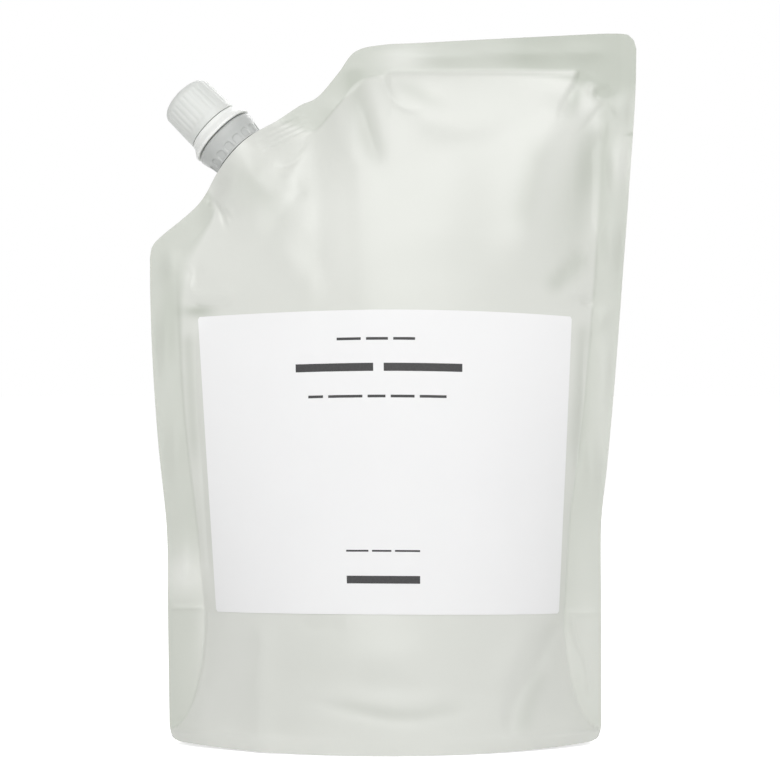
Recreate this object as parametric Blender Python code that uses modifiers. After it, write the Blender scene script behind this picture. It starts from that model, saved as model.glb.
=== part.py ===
"""Stand-up refill pouch of pale film, with a corner screw spout, a ribbed cap and a paper label.

Metres, +Z up, front panel towards -Y. The origin is on the floor under the middle of the pouch.
"""
import math

import bmesh
import bpy
from mathutils import Matrix, Vector

# Outline of the film in the seam plane, as it stands filled: distance in from that side, and height
PACK_WIDTH = 0.1887
PACK_LEFT = -0.0938
PACK_RIGHT = PACK_LEFT + PACK_WIDTH
GUSSET_HEIGHT = 0.051
LEFT_INSETS = [(0.0083, 0.0070), (0.0076, GUSSET_HEIGHT), (0.0071, 0.082), (0.0037, 0.115),
               (0.0014, 0.146), (0.0003, 0.171), (0.0, 0.1865)]
RIGHT_INSETS = [(0.0148, 0.0070), (0.0148, GUSSET_HEIGHT), (0.0147, 0.084), (0.0123, 0.107),
                (0.0093, 0.139), (0.0055, 0.186), (0.0031, 0.216), (0.0007, 0.248), (0.0, 0.2680)]
SHOULDER_INSETS = [(0.0009, 0.1909), (0.0045, 0.1950), (0.0178, 0.2064)]
SLOPE_INSETS = [(0.0573, 0.2456), (0.0646, 0.2492), (0.0725, 0.2584), (0.0792, 0.2671),
                (0.0898, 0.2698), (0.1058, 0.2706)]
TOP_INSETS = [(0.0349, 0.2730), (0.0077, 0.2741), (0.0017, 0.2722)]
LEFT_EDGE = [(PACK_LEFT + inset, z) for inset, z in LEFT_INSETS]
RIGHT_EDGE = [(PACK_RIGHT - inset, z) for inset, z in RIGHT_INSETS]
SHOULDER = [LEFT_EDGE[-1]] + [(PACK_LEFT + inset, z) for inset, z in SHOULDER_INSETS]
SLOPE_TO_TOP = [(PACK_LEFT + inset, z) for inset, z in SLOPE_INSETS]
TOP_RIGHT = [(PACK_RIGHT - inset, z) for inset, z in TOP_INSETS] + [RIGHT_EDGE[-1]]
BASE_CORNER_RISE = 0.0014
BASE_CORNER_POWER = 3
BASE_CORNER_INSET = 0.0048

# Film, seals and gusset
FIN_THICKNESS = 0.0006
SIDE_SEAL = 0.0100
DIAGONAL_SEAL = 0.0115
TOP_SEAL_LINE = 0.2588
TAB_WIDTH = 0.0142
TAB_HEIGHT = 0.0455
TAB_FADE_POWER = 4
SKIRT_HEIGHT = 0.008
SKIRT_THICKNESS = 0.0008
SKIRT_START = 0.0033
LEAST_SLOT = 0.0001
BELLY_LENGTH = 0.088
BELLY_WIDTH = 0.030
BELLY_SPREAD = 0.9

# Filled depth, measured from the seam plane to one panel
BASE_HALF_DEPTH = 0.0360
GUSSET_HALF_DEPTH = 0.0355
LOW_BULGE = 0.0012
DEPTH_POWER = 0.6
DEPTH_SOFTENING = 0.03
LEAN_BACK = 0.20
CORNER_BEND = 0.75
CORNER_BEND_REACH = 0.050

# Spout, measured along its axis from the film's edge
SPOUT_INSET = 0.0350
SPOUT_X = PACK_LEFT + SPOUT_INSET
SPOUT_Z = 0.2270
SPOUT_ANGLE = math.radians(45.0)
WELD_DEPTH = 0.0140
WELD_TOP = 0.0020
WELD_HALF_LENGTH = 0.0200
WELD_HALF_THICKNESS = 0.0110
WELD_FADE = 0.0240
WELD_CORE_DEPTH = 0.0070
POCKET_CLEARANCE = 0.0003
POCKET_REACH = 0.0066
FILM_OVER_WELD = 0.0007
FILM_PAST_WELD = 0.0015
FILM_BLEND_POWER = 4
COLLAR_FOOT = 0.0007
COLLAR_FOOT_RADIUS = 0.0117
COLLAR_SIDE_RADIUS = 0.0122
COLLAR_SWELL_RADIUS = 0.0128
COLLAR_SWELL = 0.0065
COLLAR_RADIUS = 0.0132
COLLAR_WIDEST = 0.0086
COLLAR_TOP = 0.0096
COLLAR_EDGE = 0.0008
WINDOW_COUNT = 16
WINDOW_DEPTH = 0.0008
WINDOW_LOW = 0.0014
WINDOW_HIGH = 0.0044
NECK_RADIUS = 0.0086
BORE_RADIUS = 0.0070
BEAD_RADIUS = 0.0096
BEAD_LOW = 0.0114
BEAD_HEIGHT = 0.0012

# Tamper ring and cap
RUNNING_GAP = 0.0003
RING_OVER_COLLAR = 0.0004
RING_HEIGHT = 0.0051
RING_FOOT_RADIUS = 0.0134
RING_TOP_RADIUS = 0.0112
RING_FOOT_EDGE = 0.0010
CAP_LENGTH = 0.0186
CAP_BASE_RADIUS = 0.0111
CAP_SHOULDER_RADIUS = 0.0108
CAP_DOME_HEIGHT = 0.0046
CAP_FACE_RADIUS = 0.0045
CAP_FACE_DROP = 0.0006
CAP_CROWN = 0.0002
CAP_WALL = 0.0014
CAP_TOP_WALL = 0.0016
CAP_BAND = 0.0024
RIB_COUNT = 28
RIB_DEPTH = 0.0003
WAD_THICKNESS = 0.0010

# Label, as its four corners lie in the seam plane
LABEL_TOP_LEFT = (PACK_LEFT + 0.0190, 0.1632)
LABEL_TOP_RIGHT = (PACK_RIGHT - 0.0261, 0.1632)
LABEL_BOTTOM_LEFT = (PACK_LEFT + 0.0266, 0.0508)
LABEL_BOTTOM_RIGHT = (PACK_RIGHT - 0.0313, 0.0499)
LABEL_ARCH = 0.0012
LABEL_THICKNESS = 0.0003
LABEL_GAP = 0.0003

# Mesh fineness
LABEL_COLUMNS = 20
LABEL_ROWS = 8
BOAT_SEGMENTS = 20
WELD_COLUMNS = 7
SEAL_COLUMN_SHARES = [0.0, 0.2, 0.45, 0.75, 1.0]
TAB_COLUMN_SHARES = [0.28, 0.6]
REST_COLUMNS = 19
LOW_LEVELS = [0.0, 0.06, 0.16, 0.3, 0.5, 0.75, 1.0]
HIGH_SHARES = [0.04, 0.12, 0.22, 0.33, 0.44, 0.55, 0.65, 0.74, 0.82, 0.88, 0.93, 0.97, 1.0]
SEAL_SHARES = [0.33, 0.66, 1.0]
BELLY_SHARES = [0.08, 0.18, 0.3, 0.42, 0.5, 0.58, 0.7, 0.82, 0.92]
BORE_STEPS = 24
SEARCH_STEPS = 12
SLOPE_STEP = 0.001
COLLAR_STEPS = 2 * WINDOW_COUNT
CAP_STEPS = 2 * RIB_COUNT
RING_STEPS = 32
DOME_STEPS = 4
MERGE = 0.0001
SAME_PLACE = 0.000001
SHARP_ANGLE = math.radians(40.0)

# Colours as linear values, and roughness
FILM_COLOUR = (0.73, 0.75, 0.70, 1.0)
FILM_ROUGHNESS = 0.45
LABEL_COLOUR = (0.88, 0.88, 0.89, 1.0)
LABEL_ROUGHNESS = 0.70
CAP_COLOUR = (0.80, 0.82, 0.79, 1.0)
RING_COLOUR = (0.77, 0.78, 0.75, 1.0)
CAP_ROUGHNESS = 0.40
SPOUT_COLOUR = (0.55, 0.57, 0.55, 1.0)
SPOUT_ROUGHNESS = 0.35
WAD_COLOUR = (0.85, 0.85, 0.85, 1.0)
WAD_ROUGHNESS = 0.80


def clear_scene():
    for item in list(bpy.data.objects):
        bpy.data.objects.remove(item, do_unlink=True)


def new_collection(name):
    made = bpy.data.collections.new(name)
    bpy.context.scene.collection.children.link(made)
    return made


def material(name, colour, roughness):
    made = bpy.data.materials.new(name)
    made.use_nodes = True
    shader = made.node_tree.nodes["Principled BSDF"]
    shader.inputs["Base Color"].default_value = colour
    shader.inputs["Roughness"].default_value = roughness
    shader.inputs["Metallic"].default_value = 0.0
    return made


def place(name, mesh, finish, collection):
    mesh.materials.clear()
    mesh.materials.append(finish)
    made = bpy.data.objects.new(name, mesh)
    collection.objects.link(made)
    return made


def make_cutter(item, cutters):
    for holder in list(item.users_collection):
        holder.objects.unlink(item)
    cutters.objects.link(item)
    item.hide_render = True
    item.display_type = "WIRE"


def smooth_step(value):
    held = min(max(value, 0.0), 1.0)
    return held * held * (3.0 - 2.0 * held)


# A smooth curve through points, read by its share of the length
class Path:
    SAMPLES = 12

    def __init__(self, points):
        ends = [2.0 * Vector(points[0]) - Vector(points[1]), 2.0 * Vector(points[-1]) - Vector(points[-2])]
        knots = [ends[0]] + [Vector(point) for point in points] + [ends[1]]
        self.line = [knots[1]]
        for index in range(1, len(knots) - 2):
            for sample in range(1, self.SAMPLES + 1):
                self.line.append(self.blend(knots[index - 1:index + 3], sample / self.SAMPLES))
        self.lengths = [0.0]
        for start, end in zip(self.line, self.line[1:]):
            self.lengths.append(self.lengths[-1] + (end - start).length)

    @staticmethod
    def blend(knots, share):
        before, start, end, after = knots
        return 0.5 * (2.0 * start + (end - before) * share
                      + (2.0 * before - 5.0 * start + 4.0 * end - after) * share ** 2
                      + (3.0 * start - before - 3.0 * end + after) * share ** 3)

    def at_length(self, length):
        for index in range(1, len(self.line)):
            if length <= self.lengths[index]:
                step = self.lengths[index] - self.lengths[index - 1]
                share = (length - self.lengths[index - 1]) / step
                return self.line[index - 1].lerp(self.line[index], share)
        return self.line[-1]

    def at(self, share):
        return self.at_length(share * self.lengths[-1])

    def share_nearest(self, point):
        nearest = min(range(len(self.line)), key=lambda index: (self.line[index] - Vector(point)).length)
        return self.lengths[nearest] / self.lengths[-1]


def lens_rise(offset, half_chord, rise):
    """Height of a circular arc over its chord, at an offset from the chord's middle."""
    if rise < SAME_PLACE or abs(offset) >= half_chord:
        return 0.0
    radius = (half_chord ** 2 + rise ** 2) / (2.0 * rise)
    return math.sqrt(radius ** 2 - offset ** 2) - (radius - rise)


def bell_rise(offset, half_length, rise):
    """Height of a boat-shaped outline that runs out flat at both ends."""
    if abs(offset) >= half_length:
        return 0.0
    return 0.5 * rise * (1.0 + math.cos(math.pi * offset / half_length))


# Directions in the seam plane, as x and z: out along the spout, and across it along the seal
OUT_IN_PLANE = Vector((-math.cos(SPOUT_ANGLE), math.sin(SPOUT_ANGLE)))
ALONG_IN_PLANE = Vector((math.sin(SPOUT_ANGLE), math.cos(SPOUT_ANGLE)))
SPOUT_IN_PLANE = Vector((SPOUT_X, SPOUT_Z))
BEND_START = SPOUT_IN_PLANE.dot(OUT_IN_PLANE) - CORNER_BEND_REACH


def seam_depth(point):
    """How far back the seam plane leans at a point, given as x and z; the spout's corner bends further."""
    past = max(point.dot(OUT_IN_PLANE) - BEND_START, 0.0)
    return LEAN_BACK * point.y ** 2 + CORNER_BEND * past ** 2


def seam_slope(point):
    """How fast the seam plane goes back, along x and along z."""
    past = max(point.dot(OUT_IN_PLANE) - BEND_START, 0.0)
    return Vector((0.0, 2.0 * LEAN_BACK * point.y)) + 2.0 * CORNER_BEND * past * OUT_IN_PLANE


def in_seam(direction, point):
    """A direction of the seam plane's x and z, as it lies in space at a point."""
    return Vector((direction.x, seam_slope(point).dot(direction), direction.y)).normalized()


SPOUT_OUT = in_seam(OUT_IN_PLANE, SPOUT_IN_PLANE)
SPOUT_ALONG = in_seam(ALONG_IN_PLANE, SPOUT_IN_PLANE)
SPOUT_ALONG = (SPOUT_ALONG - SPOUT_ALONG.dot(SPOUT_OUT) * SPOUT_OUT).normalized()
SPOUT_SEAT = Vector((SPOUT_X, seam_depth(SPOUT_IN_PLANE), SPOUT_Z))
FILM_HALF = WELD_HALF_THICKNESS + POCKET_CLEARANCE + FILM_OVER_WELD
FILM_HALF_LENGTH = WELD_HALF_LENGTH + FILM_PAST_WELD
EDGE_OVER_SPOUT = [SPOUT_IN_PLANE + reach * ALONG_IN_PLANE for reach in (-COLLAR_RADIUS, 0.0, COLLAR_RADIUS)]

left_edge = Path(LEFT_EDGE[1:])
right_edge = Path(RIGHT_EDGE[1:])
top_edge = Path(SHOULDER + EDGE_OVER_SPOUT + SLOPE_TO_TOP + TOP_RIGHT)


def gusset_point(across):
    return left_edge.line[0].lerp(right_edge.line[0], across)


def base_edge(across):
    """The skirt's lower edge, a little raised and rounded at its two corners."""
    left = LEFT_EDGE[0][0]
    right = RIGHT_EDGE[0][0]
    x = left + (right - left) * across
    from_end = min(x - left, right - x)
    corner_top = LEFT_EDGE[0][1] if across < 0.5 else RIGHT_EDGE[0][1]
    half = 0.5 * (right - left)
    rise = BASE_CORNER_RISE * (1.0 - from_end / half) ** BASE_CORNER_POWER
    if from_end < BASE_CORNER_INSET:
        share = 1.0 - from_end / BASE_CORNER_INSET
        rise += (corner_top - BASE_CORNER_RISE) * (1.0 - math.sqrt(max(0.0, 1.0 - share ** 2)))
    return Vector((x, rise))


def sheet_point(across, level):
    """A point of the seam plane: level 0 is the skirt's edge, 1 the gusset's fold, 2 the top edge."""
    if level <= 1.0:
        return base_edge(across).lerp(gusset_point(across), level)
    share = level - 1.0
    middle = gusset_point(across).lerp(top_edge.at(across), share)
    left_gap = left_edge.at(share) - gusset_point(0.0).lerp(top_edge.at(0.0), share)
    right_gap = right_edge.at(share) - gusset_point(1.0).lerp(top_edge.at(1.0), share)
    return middle + (1.0 - across) * left_gap + across * right_gap


def seal_level(across):
    """The level at which the chamber ends under the diagonal and top seals."""
    edge = top_edge.at(across)
    across_spout = top_edge.share_nearest((SPOUT_X, SPOUT_Z))
    across_top = top_edge.share_nearest(SLOPE_TO_TOP[-1])
    blend = smooth_step((across - across_spout) / (across_top - across_spout))
    drop = (1.0 - blend) * DIAGONAL_SEAL + blend * max(edge.y - TOP_SEAL_LINE, DIAGONAL_SEAL)
    return 1.0 + 1.0 - drop / (edge.y - GUSSET_HEIGHT)


def chamber_rise(across, level):
    """How far the filled film stands off the seam plane, without the spout."""
    point = sheet_point(across, level)
    left_x = sheet_point(0.0, level).x
    right_x = sheet_point(1.0, level).x
    inset = SIDE_SEAL
    if level <= 1.0:
        fall = min((GUSSET_HEIGHT - point.y) / TAB_HEIGHT, 1.0)
        inset = TAB_WIDTH * math.sqrt(1.0 - fall ** 2)
        depth = BASE_HALF_DEPTH + (GUSSET_HALF_DEPTH - BASE_HALF_DEPTH) * level
        depth += LOW_BULGE * 4.0 * level * (1.0 - level)
    else:
        share = min((level - 1.0) / (seal_level(across) - 1.0), 1.0)
        inset += (TAB_WIDTH - SIDE_SEAL) * (1.0 - share) ** TAB_FADE_POWER
        low = DEPTH_SOFTENING ** DEPTH_POWER
        high = (1.0 + DEPTH_SOFTENING) ** DEPTH_POWER
        depth = GUSSET_HALF_DEPTH * ((1.0 - share + DEPTH_SOFTENING) ** DEPTH_POWER - low) / (high - low)
    half_chord = 0.5 * (right_x - left_x) - inset
    return lens_rise(point.x - 0.5 * (left_x + right_x), half_chord, depth)


def weld_rise(point):
    """How far the film stands off the seam plane where it wraps the spout's weld base."""
    offset = point - SPOUT_IN_PLANE
    inward = -offset.dot(OUT_IN_PLANE)
    aside = offset.dot(ALONG_IN_PLANE)
    fade = 1.0 - smooth_step((inward - WELD_DEPTH - POCKET_CLEARANCE) / WELD_FADE)
    return fade * bell_rise(aside, FILM_HALF_LENGTH, FILM_HALF)


def film_rise(across, level):
    chamber = chamber_rise(across, level)
    weld = weld_rise(sheet_point(across, level))
    together = (chamber ** FILM_BLEND_POWER + weld ** FILM_BLEND_POWER) ** (1.0 / FILM_BLEND_POWER)
    return 0.5 * FIN_THICKNESS + together


def off_seam(point, rise):
    """The point that stands square off the leaning seam plane; a negative rise is to the front."""
    slope = seam_slope(point)
    square = Vector((-slope.x, 1.0, -slope.y)).normalized()
    return Vector((point.x, seam_depth(point), point.y)) + rise * square


def film_point(across, level, side):
    """A point of the film: side -1 is the front panel, 1 the rear one."""
    return off_seam(sheet_point(across, level), side * film_rise(across, level))


def columns():
    """Shares of the top edge, closer together over the spout's weld base."""
    length = top_edge.lengths[-1]
    spout_at = top_edge.share_nearest((SPOUT_X, SPOUT_Z)) * length
    weld_steps = range(-WELD_COLUMNS, WELD_COLUMNS + 1)
    weld = [spout_at + FILM_HALF_LENGTH * step / WELD_COLUMNS for step in weld_steps]
    seal = [SIDE_SEAL * share for share in SEAL_COLUMN_SHARES]
    near = seal + [SIDE_SEAL + TAB_WIDTH * share for share in TAB_COLUMN_SHARES]
    gap = length - near[-1] - weld[-1]
    rest = [weld[-1] + gap * step / REST_COLUMNS for step in range(1, REST_COLUMNS)]
    kept = [place_at for place_at in near if place_at < weld[0]]
    far = [length - place_at for place_at in reversed(near)]
    return [place_at / length for place_at in kept + weld + rest + far]


def levels(across):
    """Levels of the rows of one column, with a row on the gusset's fold and one on the seal's inner edge."""
    seal = seal_level(across)
    chamber = [1.0 + (seal - 1.0) * share for share in HIGH_SHARES]
    band = [seal + (2.0 - seal) * share for share in SEAL_SHARES]
    return LOW_LEVELS + chamber + band


def underside(across):
    """The gusset from the rear skirt to the front one, raised behind the skirt and flat in its middle."""
    edge = base_edge(across)
    from_end = min(edge.x - LEFT_EDGE[0][0], RIGHT_EDGE[0][0] - edge.x)
    ceiling = edge.y + SKIRT_HEIGHT * smooth_step((from_end - SKIRT_START) / TAB_WIDTH)
    ceiling_level = (ceiling - edge.y) / (GUSSET_HEIGHT - edge.y)
    low_half = max(film_rise(across, 0.0) - SKIRT_THICKNESS, LEAST_SLOT)
    high_half = max(film_rise(across, ceiling_level) - SKIRT_THICKNESS, LEAST_SLOT)
    middle = Vector((edge.x, seam_depth(edge), edge.y))
    points = [middle + Vector((0.0, low_half, 0.0)), Vector((edge.x, middle.y + high_half, ceiling))]
    base_middle = 0.5 * (LEFT_EDGE[0][0] + RIGHT_EDGE[0][0])
    for share in BELLY_SHARES:
        y = middle.y + high_half * (1.0 - 2.0 * share)
        reach = math.hypot((edge.x - base_middle) / (0.5 * BELLY_LENGTH), y / (0.5 * BELLY_WIDTH))
        lift = smooth_step((reach - 1.0) / BELLY_SPREAD)
        points.append(Vector((edge.x, y, ceiling * lift)))
    points.append(Vector((edge.x, middle.y - high_half, ceiling)))
    points.append(middle - Vector((0.0, low_half, 0.0)))
    return points


def pouch_mesh():
    """One closed skin: front panel, top edge, rear panel, skirt and gusset, column by column."""
    shape = bmesh.new()
    shares = columns()
    loops = []
    for across in shares:
        rows = levels(across)
        front = [film_point(across, level, -1.0) for level in rows]
        rear = [film_point(across, level, 1.0) for level in reversed(rows)]
        below = underside(across) if 0.0 < across < 1.0 else []
        loops.append([shape.verts.new(point) for point in front + rear + below])
    row_count = len(levels(0.0))
    for left, right in zip(loops, loops[1:]):
        count = min(len(left), len(right))
        for index in range(count - 1):
            shape.faces.new((left[index], right[index], right[index + 1], left[index + 1]))
        if len(left) == len(right):
            shape.faces.new((left[-1], right[-1], right[0], left[0]))
    inner_left = loops[1]
    shape.faces.new([loops[0][0], loops[0][-1]] + inner_left[2 * row_count - 1:] + [inner_left[0]])
    inner_right = loops[-2]
    corner = [loops[-1][-1], loops[-1][0], inner_right[0]]
    shape.faces.new(corner + list(reversed(inner_right[2 * row_count - 1:])))
    for loop in (loops[0], loops[-1]):
        for index in range(row_count - 1):
            mirror = 2 * row_count - 1 - index
            shape.faces.new((loop[index], loop[index + 1], loop[mirror - 1], loop[mirror]))
    bmesh.ops.recalc_face_normals(shape, faces=shape.faces)
    mesh = bpy.data.meshes.new("pouch")
    shape.to_mesh(mesh)
    shape.free()
    return mesh


def boat_prism(name, half_length, half_thickness, low, high, collection):
    """A prism with a boat-shaped outline, made as a flat curve with a thickness."""
    curve = bpy.data.curves.new(name, "CURVE")
    curve.dimensions = "2D"
    curve.fill_mode = "BOTH"
    curve.extrude = 0.5 * (high - low)
    points = []
    for step in range(BOAT_SEGMENTS + 1):
        offset = half_length * (2.0 * step / BOAT_SEGMENTS - 1.0)
        points.append((offset, bell_rise(offset, half_length, half_thickness)))
    outline = points + [(x, -y) for x, y in reversed(points[1:-1])]
    spline = curve.splines.new("POLY")
    spline.points.add(len(outline) - 1)
    for target, (x, y) in zip(spline.points, outline):
        target.co = (x, y, 0.0, 1.0)
    spline.use_cyclic_u = True
    made = bpy.data.objects.new(name, curve)
    collection.objects.link(made)
    made.location.z = 0.5 * (high + low)
    return to_mesh_object(made, collection)


def to_mesh_object(item, collection):
    """Turns an object with its modifiers into a plain mesh object at the same place."""
    bpy.context.view_layer.update()
    evaluated = item.evaluated_get(bpy.context.evaluated_depsgraph_get())
    mesh = bpy.data.meshes.new_from_object(evaluated)
    matrix = item.matrix_world.copy()
    name = item.name
    bpy.data.objects.remove(item, do_unlink=True)
    shape = bmesh.new()
    shape.from_mesh(mesh)
    bmesh.ops.remove_doubles(shape, verts=shape.verts, dist=SAME_PLACE)
    bmesh.ops.recalc_face_normals(shape, faces=shape.faces)
    shape.to_mesh(mesh)
    shape.free()
    made = bpy.data.objects.new(name, mesh)
    collection.objects.link(made)
    made.matrix_world = matrix
    return made


def turned(name, profile, steps, collection):
    """A turned solid from its profile of (radius, height), which runs down the outer side."""
    mesh = bpy.data.meshes.new(name)
    points = [(radius, 0.0, height) for radius, height in profile]
    closed = profile[0][0] > 0.0
    count = len(points)
    edges = [(index, (index + 1) % count) for index in range(count if closed else count - 1)]
    mesh.from_pydata(points, edges, [])
    made = bpy.data.objects.new(name, mesh)
    collection.objects.link(made)
    screw = made.modifiers.new("turn", "SCREW")
    screw.axis = "Z"
    screw.steps = steps
    screw.render_steps = steps
    screw.use_merge_vertices = True
    screw.merge_threshold = MERGE
    screw.use_normal_calculate = True
    return to_mesh_object(made, collection)


def flute(item, steps, low, high, least_radius, depth):
    """Presses every second upright line of a turned piece inwards, between two heights."""
    for vertex in item.data.vertices:
        radius = math.hypot(vertex.co.x, vertex.co.y)
        turn = round(math.atan2(vertex.co.y, vertex.co.x) / (2.0 * math.pi / steps))
        if turn % 2 and radius > least_radius and low <= vertex.co.z <= high:
            vertex.co.x *= (radius - depth) / radius
            vertex.co.y *= (radius - depth) / radius


def boolean(item, other, operation):
    modifier = item.modifiers.new(operation.lower(), "BOOLEAN")
    modifier.operation = operation
    modifier.solver = "EXACT"
    modifier.object = other


def hang(item, holder):
    item.parent = holder


def smooth(item, angle):
    item.data.shade_smooth()
    item.data.set_sharp_from_angle(angle=angle)


# Heights along the spout's axis that follow from the values above
RING_LOW = COLLAR_TOP + RING_OVER_COLLAR
RING_TOP = RING_LOW + RING_HEIGHT
CAP_LOW = RING_TOP + RUNNING_GAP
CAP_TOP = CAP_LOW + CAP_LENGTH
WAD_TOP = CAP_TOP - CAP_TOP_WALL - RUNNING_GAP
MOUTH = WAD_TOP - WAD_THICKNESS - RUNNING_GAP
CAP_BORE = CAP_BASE_RADIUS - CAP_WALL - RIB_DEPTH


def build_spout(parts, cutters, finish, holder):
    profile = [(0.0, MOUTH), (NECK_RADIUS - RUNNING_GAP, MOUTH), (NECK_RADIUS, MOUTH - RUNNING_GAP),
               (NECK_RADIUS, BEAD_LOW + BEAD_HEIGHT), (BEAD_RADIUS, BEAD_LOW), (NECK_RADIUS, BEAD_LOW),
               (NECK_RADIUS, COLLAR_TOP), (COLLAR_RADIUS - COLLAR_EDGE, COLLAR_TOP),
               (COLLAR_RADIUS, COLLAR_WIDEST), (COLLAR_SWELL_RADIUS, COLLAR_SWELL),
               (COLLAR_SIDE_RADIUS, WINDOW_HIGH), (COLLAR_FOOT_RADIUS, WINDOW_LOW),
               (COLLAR_FOOT_RADIUS, COLLAR_FOOT), (BEAD_RADIUS, COLLAR_FOOT), (BEAD_RADIUS, -WELD_CORE_DEPTH),
               (0.0, -WELD_CORE_DEPTH)]
    spout = turned("spout", profile, COLLAR_STEPS, parts)
    flute(spout, COLLAR_STEPS, WINDOW_LOW - MERGE, WINDOW_HIGH + MERGE,
          COLLAR_FOOT_RADIUS - MERGE, WINDOW_DEPTH)
    spout.data.materials.append(finish)
    weld = boat_prism("weld_base", WELD_HALF_LENGTH, WELD_HALF_THICKNESS, -WELD_DEPTH, -WELD_TOP, cutters)
    make_cutter(weld, cutters)
    boolean(spout, weld, "UNION")
    bpy.ops.mesh.primitive_cylinder_add(vertices=BORE_STEPS, radius=BORE_RADIUS,
                                        depth=2.0 * (MOUTH + WELD_DEPTH))
    bore = bpy.context.object
    bore.name = "bore_cutter"
    bore.location.z = 0.5 * (MOUTH - WELD_DEPTH)
    make_cutter(bore, cutters)
    boolean(spout, bore, "DIFFERENCE")
    for piece in (spout, weld, bore):
        hang(piece, holder)
    return spout


def build_pouch(parts, cutters, finish, holder):
    pouch = place("pouch", pouch_mesh(), finish, parts)
    pocket = boat_prism("weld_pocket", WELD_HALF_LENGTH + POCKET_CLEARANCE,
                        WELD_HALF_THICKNESS + POCKET_CLEARANCE,
                        -WELD_DEPTH - POCKET_CLEARANCE, POCKET_REACH, cutters)
    make_cutter(pocket, cutters)
    hang(pocket, holder)
    boolean(pouch, pocket, "DIFFERENCE")
    smooth(pouch, SHARP_ANGLE)
    return pouch


def build_ring(parts, finish, holder):
    """The tamper ring, with a lip that the neck's bead holds down."""
    bore = BEAD_RADIUS + RUNNING_GAP
    lip = NECK_RADIUS + RUNNING_GAP
    lip_top = BEAD_LOW - RUNNING_GAP
    profile = [(RING_TOP_RADIUS, RING_TOP), (RING_FOOT_RADIUS, RING_LOW + RING_FOOT_EDGE),
               (RING_FOOT_RADIUS, RING_LOW), (lip, RING_LOW), (lip, lip_top), (bore, lip_top),
               (bore, RING_TOP)]
    ring = turned("tamper_ring", profile, RING_STEPS, parts)
    ring.data.materials.append(finish)
    smooth(ring, SHARP_ANGLE)
    hang(ring, holder)
    return ring


def cap_profile():
    """The cap's section: domed end, ribbed side, plain band at the mouth, bore and inner top."""
    side_top = CAP_TOP - CAP_DOME_HEIGHT
    profile = [(0.0, CAP_TOP), (CAP_FACE_RADIUS, CAP_TOP - CAP_CROWN)]
    for step in range(1, DOME_STEPS):
        angle = 0.5 * math.pi * step / DOME_STEPS
        radius = CAP_FACE_RADIUS + (CAP_SHOULDER_RADIUS - CAP_FACE_RADIUS) * math.sin(angle)
        drop = CAP_FACE_DROP + (CAP_DOME_HEIGHT - CAP_FACE_DROP) * (1.0 - math.cos(angle))
        profile.append((radius, CAP_TOP - drop))
    profile += [(CAP_SHOULDER_RADIUS, side_top), (CAP_BASE_RADIUS, CAP_LOW + CAP_BAND),
                (CAP_BASE_RADIUS, CAP_LOW), (CAP_BORE, CAP_LOW),
                (CAP_BORE, side_top - CAP_TOP_WALL), (NECK_RADIUS, CAP_TOP - CAP_TOP_WALL - CAP_FACE_DROP),
                (NECK_RADIUS - RUNNING_GAP, CAP_TOP - CAP_TOP_WALL), (0.0, CAP_TOP - CAP_TOP_WALL)]
    return profile


def build_cap(parts, finish, holder):
    cap = turned("cap", cap_profile(), CAP_STEPS, parts)
    side_top = CAP_TOP - CAP_DOME_HEIGHT
    flute(cap, CAP_STEPS, CAP_LOW + CAP_BAND - MERGE, side_top + MERGE,
          CAP_SHOULDER_RADIUS - MERGE, RIB_DEPTH)
    cap.data.materials.append(finish)
    hang(cap, holder)
    return cap


def build_wad(parts, finish, holder):
    bpy.ops.mesh.primitive_cylinder_add(vertices=RING_STEPS, radius=NECK_RADIUS - 2.0 * RUNNING_GAP,
                                        depth=WAD_THICKNESS)
    wad = bpy.context.object
    wad.name = "cap_seal"
    wad.location.z = WAD_TOP - 0.5 * WAD_THICKNESS
    for owner in list(wad.users_collection):
        owner.objects.unlink(wad)
    parts.objects.link(wad)
    wad.data.materials.append(finish)
    hang(wad, holder)
    return wad


def locate(x, z):
    """The share across and the level of a point of the seam plane."""
    across = 0.5
    level = 1.5
    for _ in range(SEARCH_STEPS):
        if z < GUSSET_HEIGHT:
            lower = base_edge(across).y
            level = max((z - lower) / (GUSSET_HEIGHT - lower), 0.0)
        else:
            level = min(1.0 + (z - GUSSET_HEIGHT) / (top_edge.at(across).y - GUSSET_HEIGHT), 2.0)
        width = sheet_point(1.0, level).x - sheet_point(0.0, level).x
        across = min(max(across + (x - sheet_point(across, level).x) / width, 0.0), 1.0)
    return across, level


def rise_at(x, z):
    return film_rise(*locate(x, z))


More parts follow.
